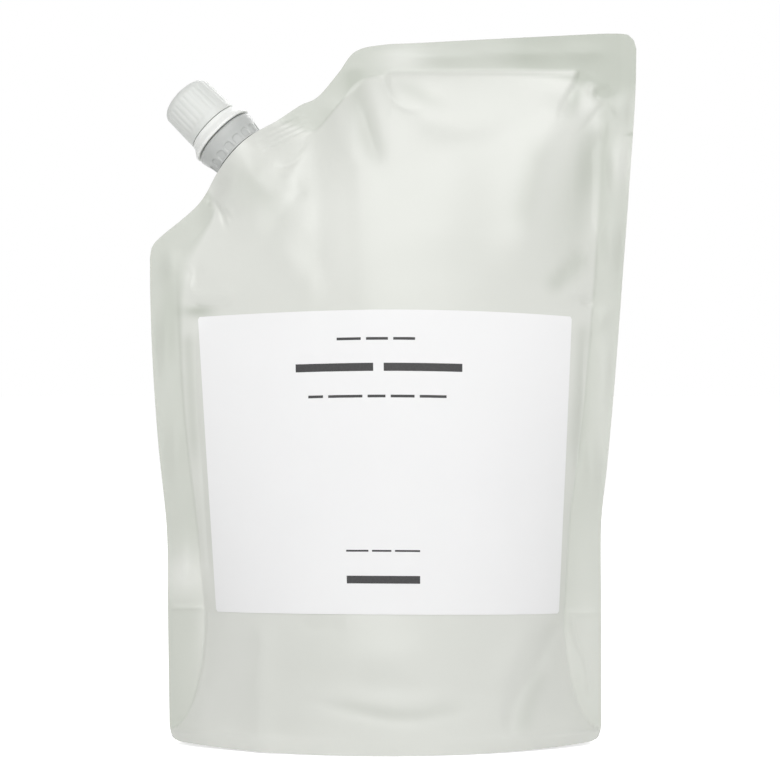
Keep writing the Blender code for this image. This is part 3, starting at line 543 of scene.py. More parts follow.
# Relief of the front panel, with heights in millimetres
FRONT_STROKES = [
    # Top seal's inner edge and the chamber's two upper corners
    (ledge, [(384, 73), (480, 72), (581, 72)], 2.2, 26.0, 0.7, (0.04, 0.04)),
    (crease, [(380, 72), (388, 88), (395, 102), (412, 109), (432, 110)], 4.0, -0.7, (0.1, 0.4)),
    (dent, (434, 98), (17, 10), -0.5, 10),
    (ledge, [(554, 124), (562, 104), (571, 88), (582, 72)], 2.0, 13.0, -1.3, (0.5, 0.06)),
    (ledge, [(572, 138), (589, 118), (606, 102)], 2.0, 12.0, -1.2, (0.5, 0.06)),
    (dent, (601, 94), (7, 3.5), -1.3, -10),
    (dent, (600, 93), (4, 2.4), -0.8, -10),
    (dent, (592, 92), (5, 9), 0.7, -20),
    # Right side seal's inner line
    (crease, [(606, 104), (605, 150), (602, 200), (600, 240)], 2.4, 0.3, (0.1, 0.3)),
    # Soft folds over the upper chamber
    (ridge, [(347, 58), (356, 95), (370, 140), (384, 178)], 12.0, -1.3, (0.2, 0.4)),
    (ridge, [(362, 100), (369, 130), (381, 168)], 6.0, -0.4),
    (ridge, [(436, 112), (446, 180), (430, 275)], 38.0, 1.0),
    (ridge, [(400, 96), (436, 122), (480, 126), (512, 98)], 15.0, -0.7),
    (ridge, [(318, 190), (316, 240), (306, 300)], 20.0, -0.7),
    (ridge, [(268, 225), (290, 262), (330, 296)], 17.0, 0.9),
    (ridge, [(330, 95), (340, 130), (350, 170)], 10.0, 0.5),
    (ridge, [(588, 240), (572, 262), (553, 284)], 8.0, -0.6),
    (dent, (573, 295), (13, 8), 0.8, -15),
    (dent, (589, 303), (6, 4), -0.9),
    (dent, (601, 320), (7, 11), 0.6, 20),
    (ridge, [(572, 92), (545, 150), (528, 215), (520, 290)], 26.0, 1.9, (0.15, 0.3)),
    (ridge, [(593, 128), (591, 190), (585, 256)], 13.0, -1.4, (0.2, 0.3)),
    (dent, (520, 150), (42, 52), 1.5, -20),
    # Over the weld base: filled out below, with the ribs
    (dent, (300, 222), (44, 32), 1.4, 45),
    (ridge, [(212, 184), (240, 206), (278, 230)], 26.0, 2.6, (0.3, 0.4)),
    *[weld_rib(row) for row in range(WELD_RIB_COUNT)],
    # Left crease beside the spout and its wrinkles
    (crease, [(206, 198), (214, 202), (221, 212), (225, 224), (231, 236)], 2.6, -0.9, (0.1, 0.4)),
    (crease, [(216, 207), (226, 209), (235, 216)], 1.8, 0.35),
    (crease, [(218, 214), (227, 216), (234, 222)], 1.6, -0.30),
    (ridge, [(238, 158), (262, 182), (286, 204)], 9.0, 0.7),
    (crease, [(272, 166), (292, 164), (311, 142)], 3.0, 0.6),
    (ridge, [(283, 168), (294, 184), (303, 204)], 8.0, -0.5),
    # Left side
    (crease, [(186, 262), (193, 274), (190, 288), (200, 300)], 3.5, 0.3),
    (dent, (196, 276), (7, 9), -0.6, 20),
    (crease, [(184, 302), (205, 306), (236, 303)], 4.0, -0.8),
    (ridge, [(182, 292), (205, 294), (240, 292)], 5.0, 0.5),
    (dent, (191, 329), (7, 12), 0.6, 15),
    (crease, [(196, 330), (197, 400), (202, 470), (207, 540), (211, 590)], 4.0, -0.6, (0.1, 0.1)),
    # Right side
    (crease, [(584, 330), (582, 400), (578, 470), (574, 540), (572, 600)], 4.0, -0.6, (0.1, 0.1)),
    # Waves of the side and top seals
    (dent, (616, 168), (9, 22), 1.1),
    (dent, (611, 246), (9, 24), 0.9),
    (dent, (620, 108), (9, 16), 0.7),
    (dent, (603, 372), (8, 30), 0.8),
    (dent, (592, 470), (7, 26), 0.7),
    (dent, (172, 268), (9, 15), 0.8),
    (dent, (166, 345), (8, 28), 0.9),
    (dent, (176, 452), (8, 30), 0.8),
    (dent, (186, 566), (9, 26), 1.0),
    (dent, (430, 57), (34, 6), 0.7),
    (dent, (520, 54), (30, 6), 0.6),
    (dent, (583, 53), (16, 7), 0.8),
    # Gusset's seal lines and the tabs' arcs
    (crease, [(170, 608), (190, 608), (209, 609)], 1.6, 0.45, (0.02, 0.1)),
    (crease, [(567, 613), (582, 613), (600, 613)], 1.6, 0.45, (0.1, 0.02)),
    (crease, [(208, 609), (206, 650), (199, 690), (188, 711), (172, 718)], 2.2, 0.55, (0.05, 0.2)),
    (crease, [(571, 615), (576, 640), (586, 665), (589, 702)], 2.2, 0.55, (0.05, 0.2)),
    # Low front: base seal's arc, upright folds and the slanting crease
    (ridge, [(282, 696), (350, 711), (412, 720), (495, 704)], 7.0, -0.6),
    (ridge, [(263, 614), (260, 690), (262, 752)], 13.0, 1.1, (0.2, 0.0)),
    (ridge, [(225, 630), (227, 700), (231, 752)], 12.0, -0.4, (0.3, 0.0)),
    (ridge, [(292, 622), (318, 628), (348, 622)], 8.0, -0.6),
    (ridge, [(560, 618), (538, 665), (515, 702), (509, 745)], 9.0, -1.1, (0.1, 0.2)),
    (ridge, [(540, 612), (512, 662), (490, 700)], 12.0, 0.7),
    (dent, (548, 716), (26, 22), -1.0, -40),
    (dent, (410, 690), (95, 14), -0.7, 4),
    (dent, (385, 652), (100, 18), 0.6),
]
# Relief of the rear panel, with places in millimetres as seen from the front
REAR_STROKES = [
    (ledge, [(84, 259), (40, 259), (0, 259)], 0.5, 10.0, 1.1, (0.05, 0.05)),
    (crease, [(-4, 258), (2, 250), (6, 244), (14, 240)], 1.6, -0.7, (0.1, 0.4)),
    (crease, [(83, 258), (80, 250), (75, 243)], 1.6, -0.8, (0.1, 0.4)),
    (ridge, [(-70, 205), (-50, 196), (-30, 178)], 4.0, -0.7),
    (ridge, [(60, 200), (40, 188), (22, 170)], 4.5, -0.6),
    (ridge, [(-30, 232), (-24, 214), (-14, 190)], 3.5, 0.6),
    (crease, [(-74, 150), (-60, 146), (-44, 148)], 1.8, -0.6),
    (crease, [(72, 128), (58, 122), (40, 124)], 1.8, -0.6),
    (crease, [(-74, 140), (-73, 100), (-71, 60)], 1.6, -0.5, (0.1, 0.1)),
    (crease, [(69, 140), (67, 100), (65, 60)], 1.6, -0.5, (0.1, 0.1)),
    (crease, [(-86, 51), (-78, 51), (-71, 51)], 0.7, 0.4, (0.02, 0.1)),
    (crease, [(66, 51), (72, 51), (80, 51)], 0.7, 0.4, (0.1, 0.02)),
    (crease, [(-72, 50), (-73, 36), (-77, 18), (-84, 9)], 0.9, 0.5, (0.05, 0.2)),
    (crease, [(66, 50), (67, 36), (71, 18), (78, 9)], 0.9, 0.5, (0.05, 0.2)),
    (ridge, [(-40, 14), (-2, 8), (38, 14)], 2.4, -0.35),
    (ridge, [(52, 50), (44, 30), (38, 4)], 3.0, -0.6, (0.1, 0.2)),
    (ridge, [(-50, 50), (-46, 28), (-44, 4)], 2.4, 0.4, (0.1, 0.1)),
]
# Seals and the top seal's lower edge that lie turned to the light: shares of tone taken away
LIT_SEALS = [
    (dent, (403, 60), (27, 14), 0.9),
    (dent, (622, 165), (12, 26), 0.9),
    (dent, (606, 400), (12, 110), 0.35),
    (dent, (187, 574), (20, 26), 1.0),
    (dent, (208, 620), (9, 40), 0.6),
    (dent, (192, 665), (22, 70), 0.3),
    (dent, (586, 660), (20, 100), 0.8),
    (ridge, [(380, 75), (480, 73), (581, 73)], 3.0, 1.0, (0.05, 0.05)),
]
# Tone strokes of the front film, greyer above none and lighter below: painted shade in the folds, painted
# highlights on lit film, and the tear slit's dark mark
PAINTED_SHADING_AND_SLIT_STROKES = [
    # Painted shade in the folds of the upper right corner
    (dent, (590, 160), (15, 42), 0.85, 8),
    (dent, (572, 214), (24, 58), 0.45, 8),
    (dent, (576, 96), (18, 7), 1.0, 110),
    (dent, (603, 93), (13, 5), 0.8, -8),
    (ridge, [(590, 246), (572, 268), (542, 294)], 10.0, 0.55),
    (ridge, [(545, 130), (530, 180), (518, 236)], 13.0, 0.4),
    # Painted shade in the folds of the shoulder and of the weld's lower side
    (dent, (417, 93), (20, 8), 0.5, 22),
    (dent, (268, 204), (20, 12), 0.3, 45),
    (ridge, [(352, 64), (358, 96), (370, 140), (382, 172)], 11.0, 0.55, (0.1, 0.4)),
    (dent, (248, 184), (24, 20), 0.45, 45),
    # Painted shade in the folds beside the label
    (dent, (170, 318), (10, 36), 0.4),
    (dent, (198, 311), (15, 6), 1.2),
    (ridge, [(188, 330), (191, 400), (196, 480)], 6.0, 0.6, (0.1, 0.3)),
    (ridge, [(584, 318), (579, 390), (572, 480)], 7.0, 0.5, (0.1, 0.3)),
    # Painted shade in the folds of the low front
    (ridge, [(548, 665), (530, 700), (520, 742)], 9.0, 0.35),
    (ridge, [(320, 700), (400, 714), (480, 702)], 12.0, 0.25),
    # Film round the label that is turned to the light
    (dent, (232, 668), (30, 76), -0.30),
    (dent, (207, 640), (10, 70), -0.35),
    (dent, (187, 576), (22, 22), -0.40),
    (dent, (568, 652), (9, 40), -0.35),
    (dent, (340, 245), (20, 60), -0.20),
    (dent, (266, 744), (60, 10), -0.20),
    # The short slit that starts the tear
    (dent, (631, 134), (5, 1.6), 1.0),
]


def summed(strokes, px, py):
    total = np.zeros(px.shape)
    for kind, *values in strokes:
        total += kind(px, py, *values)
    return total


def front_relief(px, py):
    """Height of the front panel's creases over its smooth shape, in metres."""
    return 0.001 * summed(FRONT_STROKES, px, py)


def rear_relief(x, z):
    """Height of the rear panel's creases over its smooth shape, in metres."""
    return 0.001 * summed(REAR_STROKES, 1000.0 * x, 1000.0 * z)


def grid_mesh(name, grids):
    """One mesh from open grids of points: each is (points, material index, a direction it faces)."""
    vertices, faces, slots = [], [], []
    count = 0
    for points, index, facing in grids:
        rows, columns = points.shape[:2]
        numbers = count + np.arange(rows * columns).reshape(rows, columns)
        quads = np.stack([numbers[:-1, :-1], numbers[1:, :-1], numbers[1:, 1:], numbers[:-1, 1:]], axis=-1)
        across = points[1:, 1:] - points[:-1, :-1]
        other = points[:-1, 1:] - points[1:, :-1]
        normal = np.cross(across, other).reshape(-1, 3).sum(axis=0)
        if float(normal @ np.asarray(facing, float)) < 0.0:
            quads = quads[..., ::-1]
        vertices.append(points.reshape(-1, 3))
        faces.append(quads.reshape(-1, 4))
        slots.append(np.full((rows - 1) * (columns - 1), index))
        count += rows * columns
    mesh = bpy.data.meshes.new(name)
    mesh.from_pydata(np.vstack(vertices).tolist(), [], np.vstack(faces).tolist())
    mesh.polygons.foreach_set("material_index", np.concatenate(slots))
    mesh.shade_smooth()
    mesh.update()
    return mesh


def add_object(name, data):
    made = bpy.data.objects.new(name, data)
    bpy.context.scene.collection.objects.link(made)
    return made


def add_piece(name, mesh, materials, body, replaced=()):
    piece = add_object(name, mesh)
    for finish in materials:
        mesh.materials.append(finish)
    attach(piece, body)
    if replaced:
        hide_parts(*replaced)
    return piece


# Node helpers
def fill(node, values):
    for socket, value in values.items():
        node.inputs[socket].default_value = value
    return node


def new_material(name):
    made = bpy.data.materials.new(name)
    made.use_nodes = True
    return made, made.node_tree, made.node_tree.nodes["Principled BSDF"]


def add_noise(tree, vector, scale, detail, roughness):
    noise = tree.nodes.new("ShaderNodeTexNoise")
    fill(noise, {"Scale": scale, "Detail": detail, "Roughness": roughness})
    tree.links.new(vector, noise.inputs["Vector"])
    return noise.outputs["Fac"]


def tint(tree, value, tints):
    ramp = tree.nodes.new("ShaderNodeValToRGB")
    for element, position, colour in zip(ramp.color_ramp.elements, (TINT_START, TINT_END), tints):
        element.position = position
        element.color = (*colour, 1.0)
    tree.links.new(value, ramp.inputs["Fac"])
    return ramp.outputs["Color"]


def spread(tree, value, low, high):
    ranged = fill(tree.nodes.new("ShaderNodeMapRange"), {"To Min": low, "To Max": high})
    ranged.clamp = False
    tree.links.new(value, ranged.inputs["Value"])
    return ranged.outputs["Result"]


def add_bump(tree, height, strength, distance, before=None):
    bump = fill(tree.nodes.new("ShaderNodeBump"), {"Strength": strength, "Distance": distance})
    tree.links.new(height, bump.inputs["Height"])
    if before is not None:
        tree.links.new(before, bump.inputs["Normal"])
    return bump.outputs["Normal"]


def surface(name, tints, cloud, grain, roughness):
    """A cloudy colour and a grainy roughness; cloud and grain are a noise's scale, detail, roughness."""
    made, tree, shader = new_material(name)
    where = tree.nodes.new("ShaderNodeTexCoord").outputs["Object"]
    tree.links.new(tint(tree, add_noise(tree, where, *cloud), tints), shader.inputs["Base Color"])
    fine = add_noise(tree, where, *grain)
    tree.links.new(spread(tree, fine, *roughness), shader.inputs["Roughness"])
    return made, tree, shader, where, fine


def grey_seals_and_painted_shading(tree, shader):
    """Where film is sealed to film it reads greyer than over the soap; the same mark also paints shade in
    folds and highlights on lit film.
    """
    # The seal attribute also holds painted shade and painted highlights of the front film
    seal = tree.nodes.new("ShaderNodeAttribute")
    seal.attribute_name = "seal"
    mixed = tree.nodes.new("ShaderNodeMix")
    mixed.data_type = "RGBA"
    mixed.blend_type = "MULTIPLY"
    mixed.inputs["B"].default_value = FILM_SEAL_AND_SHADE_GREY
    greyer = spread(tree, seal.outputs["Fac"], PLAIN_MIX, PLAIN_MIX + SEAL_MIX)
    tree.links.new(greyer, mixed.inputs["Factor"])
    tree.links.new(shader.inputs["Base Color"].links[0].from_socket, mixed.inputs["A"])
    tree.links.new(mixed.outputs["Result"], shader.inputs["Base Color"])


def film_material():
    made, tree, shader, where, grain = surface("film_satin", FILM_TINTS, cloud=(9.0, 3.0, 0.5),
                                               grain=(900.0, 2.0, 0.6), roughness=(0.35, 0.45))
    grey_seals_and_painted_shading(tree, shader)
    waves = add_noise(tree, where, 55.0, 4.0, 0.55)
    soft = add_bump(tree, waves, 0.25, 0.0006)
    tree.links.new(add_bump(tree, grain, 0.10, 0.00008, soft), shader.inputs["Normal"])
    fill(shader, {"Specular IOR Level": 0.7})
    return made


def paper_material():
    made, tree, shader, where, fibre = surface("label_paper_white", PAPER_TINTS, cloud=(14.0, 2.0, 0.5),
                                               grain=(1400.0, 3.0, 0.7), roughness=(0.66, 0.80))
    cockle = add_noise(tree, where, 40.0, 2.0, 0.5)
    soft = add_bump(tree, cockle, 0.2, 0.0003)
    tree.links.new(add_bump(tree, fibre, 0.15, 0.00005, soft), shader.inputs["Normal"])
    fill(shader, {"Specular IOR Level": 0.3})
    return made


def ink_material():
    return surface("label_print_dark", INK_TINTS, cloud=(1500.0, 2.0, 0.6), grain=(1500.0, 2.0, 0.6),
                   roughness=(0.55, 0.70))[0]


def plastic_material(name, tints, roughness, subsurface):
    made, tree, shader, _, grain = surface(name, tints, cloud=(60.0, 2.0, 0.5), grain=(1800.0, 2.0, 0.6),
                                           roughness=(roughness - 0.05, roughness + 0.07))
    tree.links.new(add_bump(tree, grain, 0.08, 0.00005), shader.inputs["Normal"])
    fill(shader, {"Subsurface Weight": subsurface, "Subsurface Radius": SCATTER_RADIUS,
                  "Subsurface Scale": SCATTER_SCALE})
    return made


FILM = film_material()
PAPER = paper_material()
INK = ink_material()
CAP_WHITE = plastic_material("cap_plastic_white", CAP_TINTS, roughness=0.45, subsurface=0.10)
# The ring's plastic is painted lighter than the cap's to lift the shade on its flare
RING_WHITE_LIFTED_AGAINST_SHADE = plastic_material("ring_plastic_white_painted_light", RING_TINTS_LIFTED_AGAINST_SHADE, roughness=0.45, subsurface=0.10)
GREY = plastic_material("spout_plastic_grey", SPOUT_TINTS, roughness=0.38, subsurface=0.15)
FOAM = plastic_material("seal_foam_white", FOAM_TINTS, roughness=0.75, subsurface=0.0)


# Film: columns across, then rows below the gusset's fold, over the chamber and over the seal above
FRONT_COLUMNS = 330
FRONT_ROWS = (62, 196, 16)
REAR_COLUMNS = 220
REAR_ROWS = (40, 120, 10)
LEAST_COVER = 0.4 * FIN_THICKNESS
LEVEL_HEIGHT = 0.2
RELIEF_FADE = 0.003
SEALED_RISE = 0.0007


def film_levels(across, low_count, chamber_count, band_count):
    seal = seal_level(across)[:, None]
    low = shares(low_count)[None, :] * np.ones_like(seal)
    chamber_share = shares(chamber_count + 1)[None, 1:]
    band_share = shares(band_count + 1)[None, 1:]
    return np.hstack([low, 1.0 + (seal - 1.0) * chamber_share, seal + (2.0 - seal) * band_share])


def relief_fade(across, level):
    """The relief dies away at the film's outer edge, so that the two panels meet there."""
    point = sheet_point(across, level)
    left_x, right_x = side_places(level)
    from_side = np.minimum(point[..., 0] - left_x, right_x - point[..., 0])
    from_top = (2.0 - level) * LEVEL_HEIGHT
    return smooth_step(np.minimum(from_side, from_top) / RELIEF_FADE)


def seal_share(across, level):
    """One where film is sealed flat to film, none over the soap and the weld base."""
    raised = chamber_rise(across, level) + weld_rise(sheet_point(across, level))
    return 1.0 - smooth_step(raised / SEALED_RISE)


def seal_tone_and_painted_shade(px, py):
    # Painted shade over the top seal, growing towards the right and dropping at the very end
    to_right = smooth_step((px - RIGHT_COLUMN) / RIGHT_FADE)
    to_right = to_right - END_SHADE_DROP * smooth_step((px - END_COLUMN) / END_FADE)
    return SEAL_TONE + smooth_step((TOP_ROW - py) / TOP_FADE) * (TOP_PAINTED_SHADE + RIGHT_PAINTED_SHADE * to_right)


def front_tone_and_painted_shading(across, level):
    """How grey the front film reads: greater over seals, with painted shade in the deepest folds and on the
    top seal, and less where painted highlights fall on lit seals and film.
    """
    px, py = to_picture(off_seam(sheet_point(across, level), -film_rise(across, level)))
    grey = seal_share(across, level) * seal_tone_and_painted_shade(px, py)
    for kind, *values in LIT_SEALS:
        grey = grey * (1.0 - kind(px, py, *values))
    return np.clip(grey + summed(PAINTED_SHADING_AND_SLIT_STROKES, px, py), LIGHTEST_TONE, DARKEST_TONE)


def mark_seal_grey_and_painted_shading(mesh, values):
    """Gives the tone to the mesh's first points, and none to the rest."""
    # On the front film this mark holds painted shade and painted highlights as well as the seals' grey
    mark = mesh.attributes.new("seal", "FLOAT", "POINT")
    rest = np.zeros(len(mesh.vertices) - values.size)
    mark.data.foreach_set("value", np.concatenate([values.ravel(), rest]))


def front_height(point, across, level):
    rise = film_rise(across, level)
    return rise + front_relief(*to_picture(off_seam(point, -rise))) * relief_fade(across, level)


def front_points(across, level):
    point = sheet_point(across, level)
    return off_seam(point, -np.maximum(front_height(point, across, level), LEAST_COVER))


def rear_points(across, level):
    point = sheet_point(across, level)
    relief = rear_relief(point[..., 0], point[..., 1]) * relief_fade(across, level)
    return off_seam(point, np.maximum(film_rise(across, level) + relief, LEAST_COVER))


def film_places(columns, rows):
    across = shares(columns + 1)
    level = film_levels(across, *rows)
    return across, across[:, None] * np.ones_like(level), level


def build_front_film():
    _, wide, level = film_places(FRONT_COLUMNS, FRONT_ROWS)
    mesh = grid_mesh("film_front", [(front_points(wide, level), 0, FORWARD)])
    mark_seal_grey_and_painted_shading(mesh, front_tone_and_painted_shading(wide, level))
    add_piece("film_front", mesh, [FILM], "pack", ["pouch"])


def build_rear_film():
    across, wide, level = film_places(REAR_COLUMNS, REAR_ROWS)
    rear = rear_points(wide, level)
    front = front_points(wide, level)
    sides = []
    for end, facing in ((0, LEFTWARD), (-1, RIGHTWARD)):
        sides.append((np.stack([front[end], rear[end]]), 0, facing))
    mesh = grid_mesh("film_rear", [(rear, 0, BACKWARD), *sides, *weld_lid(across), *base_grids()])
    mark_seal_grey_and_painted_shading(mesh, REAR_TONE * seal_share(wide, level))
    add_piece("film_rear", mesh, [FILM, GREY], "pack")


def weld_lid(across):
    """The top edge between the two panels, with the weld base's top showing where they part."""
    level = np.full_like(across, 2.0)
    point = sheet_point(across, level)
    rise = film_rise(across, level)
    inner = np.maximum(rise - FILM_OVER_WELD, LEAST_OPENING)
    down = WELD_TOP * smooth_step((inner - LID_OPENING) / LID_FADE)
    low = point - down[:, None] * OUT_IN_PLANE
    front = np.stack([off_seam(point, -rise), off_seam(point, -inner), off_seam(low, -inner)])
    rear = np.stack([off_seam(low, inner), off_seam(point, inner), off_seam(point, rise)])
    lid = np.stack([front[-1], rear[0]])
    return [(front, 0, UPWARD), (rear, 0, UPWARD), (lid, 1, LEFT_AND_UP)]


def base_grids():
    """The gusset's underside between the two skirt walls, with the crease of its middle fold."""
    across = shares(REAR_COLUMNS + 1)
    edge = base_edge(across)
    inside = from_base_end(edge[:, 0]) - SKIRT_START
    ceiling = edge[:, 1] + SKIRT_HEIGHT * smooth_step(inside / TAB_WIDTH)
    ceiling_level = (ceiling - edge[:, 1]) / (GUSSET_HEIGHT - edge[:, 1])
    low_out = film_rise(across, np.zeros_like(across))
    low_half = np.maximum(low_out - SKIRT_THICKNESS, LEAST_SLOT)
    high_half = np.maximum(film_rise(across, ceiling_level) - SKIRT_THICKNESS, LEAST_SLOT)
    middle_y = seam_depth(edge)
    base_middle = 0.5 * (BASE_LEFT + BASE_RIGHT)
    half_length, half_width = 0.5 * BELLY_LENGTH, 0.5 * BELLY_WIDTH
    rows = []
    for share in shares(BASE_GRID_ROWS):
        y = middle_y + high_half * (1.0 - 2.0 * share)
        reach = np.hypot((edge[:, 0] - base_middle) / half_length, y / half_width)
        lift = smooth_step((reach - 1.0) / BELLY_SPREAD)
        fold = BASE_FOLD_DEPTH * np.exp(-(y / BASE_FOLD_WIDTH) ** 2)
        fold = fold * smooth_step((reach - 1.0) / BASE_FOLD_FADE)
        wave = BASE_WAVE_HEIGHT * np.sin(BASE_WAVE_ACROSS * edge[:, 0] + BASE_WAVE_DEEP * y)
        wave = wave * lift * (1.0 - lift) * 4.0
        z = np.maximum(ceiling * lift + np.where(ceiling > LEAST_CEILING, wave - fold, 0.0), 0.0)
        rows.append(np.stack([edge[:, 0], y, z], axis=-1))
    belly = np.stack(rows)
    skirts = []
    for sign in (-1.0, 1.0):
        outer = off_seam(edge, sign * low_out)
        inner = np.stack([edge[:, 0], middle_y + sign * low_half, edge[:, 1]], axis=-1)
        high = np.stack([edge[:, 0], middle_y + sign * high_half, ceiling], axis=-1)
        skirts.append((np.stack([outer, inner]), 0, DOWNWARD))
        skirts.append((np.stack([inner, high]), 0, (0, -sign, 0)))
    return [(belly, 0, DOWNWARD), *skirts]


# Label
def locate(x, z):
    """Across and level of places in the seam plane above the gusset's fold."""
    across = np.full_like(x, 0.5)
    level = np.full_like(x, 1.5)
    for _ in range(LOCATE_ROUNDS):
        height = top_edge.at(across)[..., 1]
        level = np.clip(1.0 + (z - GUSSET_HEIGHT) / (height - GUSSET_HEIGHT), 0.0, 2.0)
        left_x, right_x = side_places(level)
        off = x - sheet_point(across, level)[..., 0]
        across = np.clip(across + off / (right_x - left_x), 0.0, 1.0)
    return across, level


def on_label(u, v, height):
    """Points over the front panel: u across and v up the label, 0 to 1, at a height off the film."""
    low_left, low_right = np.array(LABEL_BOTTOM_LEFT), np.array(LABEL_BOTTOM_RIGHT)
    top_left, top_right = np.array(LABEL_TOP_LEFT), np.array(LABEL_TOP_RIGHT)
    low = low_left + (low_right - low_left) * u[..., None]
    top = top_left + (top_right - top_left) * u[..., None]
    flat = low + (top - low) * v[..., None]
    x = flat[..., 0]
    z = flat[..., 1] + LABEL_ARCH * (1.0 - (2.0 * u - 1.0) ** 2)
    across, level = locate(x, z)
    point = np.stack([x, z], axis=-1)
    return off_seam(point, -front_height(point, across, level) - height)


def build_label():
    v = shares(LABEL_ROWS)
    side = np.linspace(-1.0, 1.0, LABEL_COLUMNS)
    height = LABEL_TOP_LEFT[1] - LABEL_BOTTOM_LEFT[1]
    width = LABEL_TOP_RIGHT[0] - LABEL_TOP_LEFT[0]
    from_end = np.minimum(v, 1.0 - v) * height
    short = np.clip(1.0 - from_end / LABEL_CORNER, 0.0, 1.0)
    # The sides step in at the ends, which rounds the corners
    inset = LABEL_CORNER * (1.0 - np.sqrt(1.0 - short ** 2)) / width
    u = 0.5 + (0.5 - inset[:, None]) * side[None, :]
    wide = v[:, None] * np.ones_like(u)
    face = on_label(u, wide, np.full_like(u, LABEL_OFFSET + LABEL_THICKNESS))
    back = on_label(u, wide, np.full_like(u, LABEL_BACK_SHARE * LABEL_OFFSET))
    rims = []
    for row, facing in ((0, DOWNWARD), (-1, UPWARD)):
        rims.append((np.stack([face[row], back[row]]), 0, facing))
    for column, facing in ((0, LEFTWARD), (-1, RIGHTWARD)):
        rims.append((np.stack([face[:, column], back[:, column]]), 0, facing))
    mesh = grid_mesh("label_sheet", [(face, 0, FORWARD), *rims])
    add_piece("label_sheet", mesh, [PAPER], "pack", ["front_label"])


def print_bar(middle, half, start, end):
    across = np.linspace(start, end, BAR_COLUMNS)
    up = np.linspace(middle - half, middle + half, BAR_ROWS)
    u, v = np.meshgrid(across, up)
    return on_label(u, v, np.full_like(u, LABEL_OFFSET + LABEL_THICKNESS + PRINT_HEIGHT)), 0, FORWARD


def build_print():
    bars = [print_bar(middle, half, *word) for middle, half, words in PRINT_LINES for word in words]
    add_piece("label_print", grid_mesh("label_print", bars), [INK], "pack")


# Turned pieces
def rounded(profile, radius, steps=4):
    """The profile with each corner eased by a small arc."""
    points = [np.array(point, float) for point in profile]
    out = [points[0]]
    for before, corner, after in zip(points, points[1:], points[2:]):
        reach_in = min(radius, ROUNDING_SHARE * np.hypot(*(corner - before)))
        reach_out = min(radius, ROUNDING_SHARE * np.hypot(*(after - corner)))
        start = corner + (before - corner) / np.hypot(*(before - corner)) * reach_in
        end = corner + (after - corner) / np.hypot(*(after - corner)) * reach_out
        for step in range(steps + 1):
            t = step / steps
            out.append((1.0 - t) ** 2 * start + 2.0 * t * (1.0 - t) * corner + t * t * end)
    out.append(points[-1])
    return out


def densified(profile, spacing):
    out = [profile[0]]
    for start, end in zip(profile, profile[1:]):
        start, end = np.array(start), np.array(end)
        count = max(1, int(math.ceil(np.hypot(*(end - start)) / spacing)))
        for step in range(1, count + 1):
            out.append(start + (end - start) * step / count)
    return out


def axis_mesh(name, local, numbers):
    """A skin over points given about the spout's axis, by their numbers in rows and columns."""
    matrix = np.array(SPOUT_FRAME)
    world = local @ matrix[:3, :3].T + matrix[:3, 3]
    quads = np.stack([numbers[:-1, :-1], numbers[:-1, 1:], numbers[1:, 1:], numbers[1:, :-1]], axis=-1)
    mesh = bpy.data.meshes.new(name)
    mesh.from_pydata(world.reshape(-1, 3).tolist(), [], quads.reshape(-1, 4).tolist())
    mesh.shade_smooth()
    return mesh


def turned_mesh(name, profile, steps, shape=None):
    """A turned skin about the spout's axis; shape(angle, radius, height) may change the radius."""
    profile = np.array(profile)
    angle = np.linspace(0.0, 2.0 * math.pi, steps + 1)[:-1]
    radius, wide = np.meshgrid(profile[:, 0], angle)
    height = profile[:, 1] * np.ones_like(radius)
    if shape is not None:
        radius = shape(wide, radius, height)
    local = np.stack([radius * np.cos(wide), radius * np.sin(wide), height], axis=-1)
    numbers = np.arange(radius.size).reshape(radius.shape)
    mesh = axis_mesh(name, local, np.vstack([numbers, numbers[:1]]))
    mesh.set_sharp_from_angle(angle=SHARP_ANGLE)
    mesh.update()
    return mesh


def cap_profile():
    side_top = CAP_TOP - CAP_DOME
    inner_top = CAP_TOP - CAP_TOP_WALL
    bore = CAP_BASE_RADIUS - CAP_WALL - SOLID_RIB_DEPTH
    profile = [(AXIS_RADIUS, CAP_TOP), (CAP_FACE_RADIUS, CAP_TOP - CAP_CROWN)]
    for step in range(1, DOME_STEPS):
        angle = 0.5 * math.pi * step / DOME_STEPS
        radius = CAP_FACE_RADIUS + (CAP_SHOULDER_RADIUS - CAP_FACE_RADIUS) * math.sin(angle)
        drop = (CAP_DOME - CAP_FACE_DROP) * (1.0 - math.cos(angle))
        profile.append((radius, CAP_TOP - CAP_FACE_DROP - drop))
    profile += [(CAP_SHOULDER_RADIUS, side_top), (CAP_BASE_RADIUS, CAP_LOW + CAP_BAND),
                (CAP_BASE_RADIUS, CAP_LOW), (bore, CAP_LOW), (bore, side_top - CAP_TOP_WALL),
                (NECK_RADIUS, inner_top - CAP_FACE_DROP), (NECK_RADIUS - NECK_EDGE, inner_top),
                (AXIS_RADIUS, inner_top)]
    return densified(rounded(profile, CAP_ROUNDING), PROFILE_SPACING)


def cap_ribs(angle, radius, height):
    on_side = smooth_step((height - CAP_LOW - CAP_BAND) / RIB_LOW_FADE)
    from_top = height - (CAP_TOP - CAP_DOME) + RIB_TOP_DROP
    on_side = on_side * (1.0 - smooth_step(from_top / RIB_TOP_FADE))
    groove = 0.5 - 0.5 * np.cos(RIB_COUNT * angle)
    outside = radius > CAP_BASE_RADIUS - RIBBED_SKIN
    return radius - np.where(outside, RIB_DEPTH * on_side * groove ** 2, 0.0)


def build_cap():
    mesh = turned_mesh("cap_shell", cap_profile(), RIB_COUNT * STEPS_PER_RIB, cap_ribs)
    add_piece("cap_shell", mesh, [CAP_WHITE], "screw_cap", ["cap"])


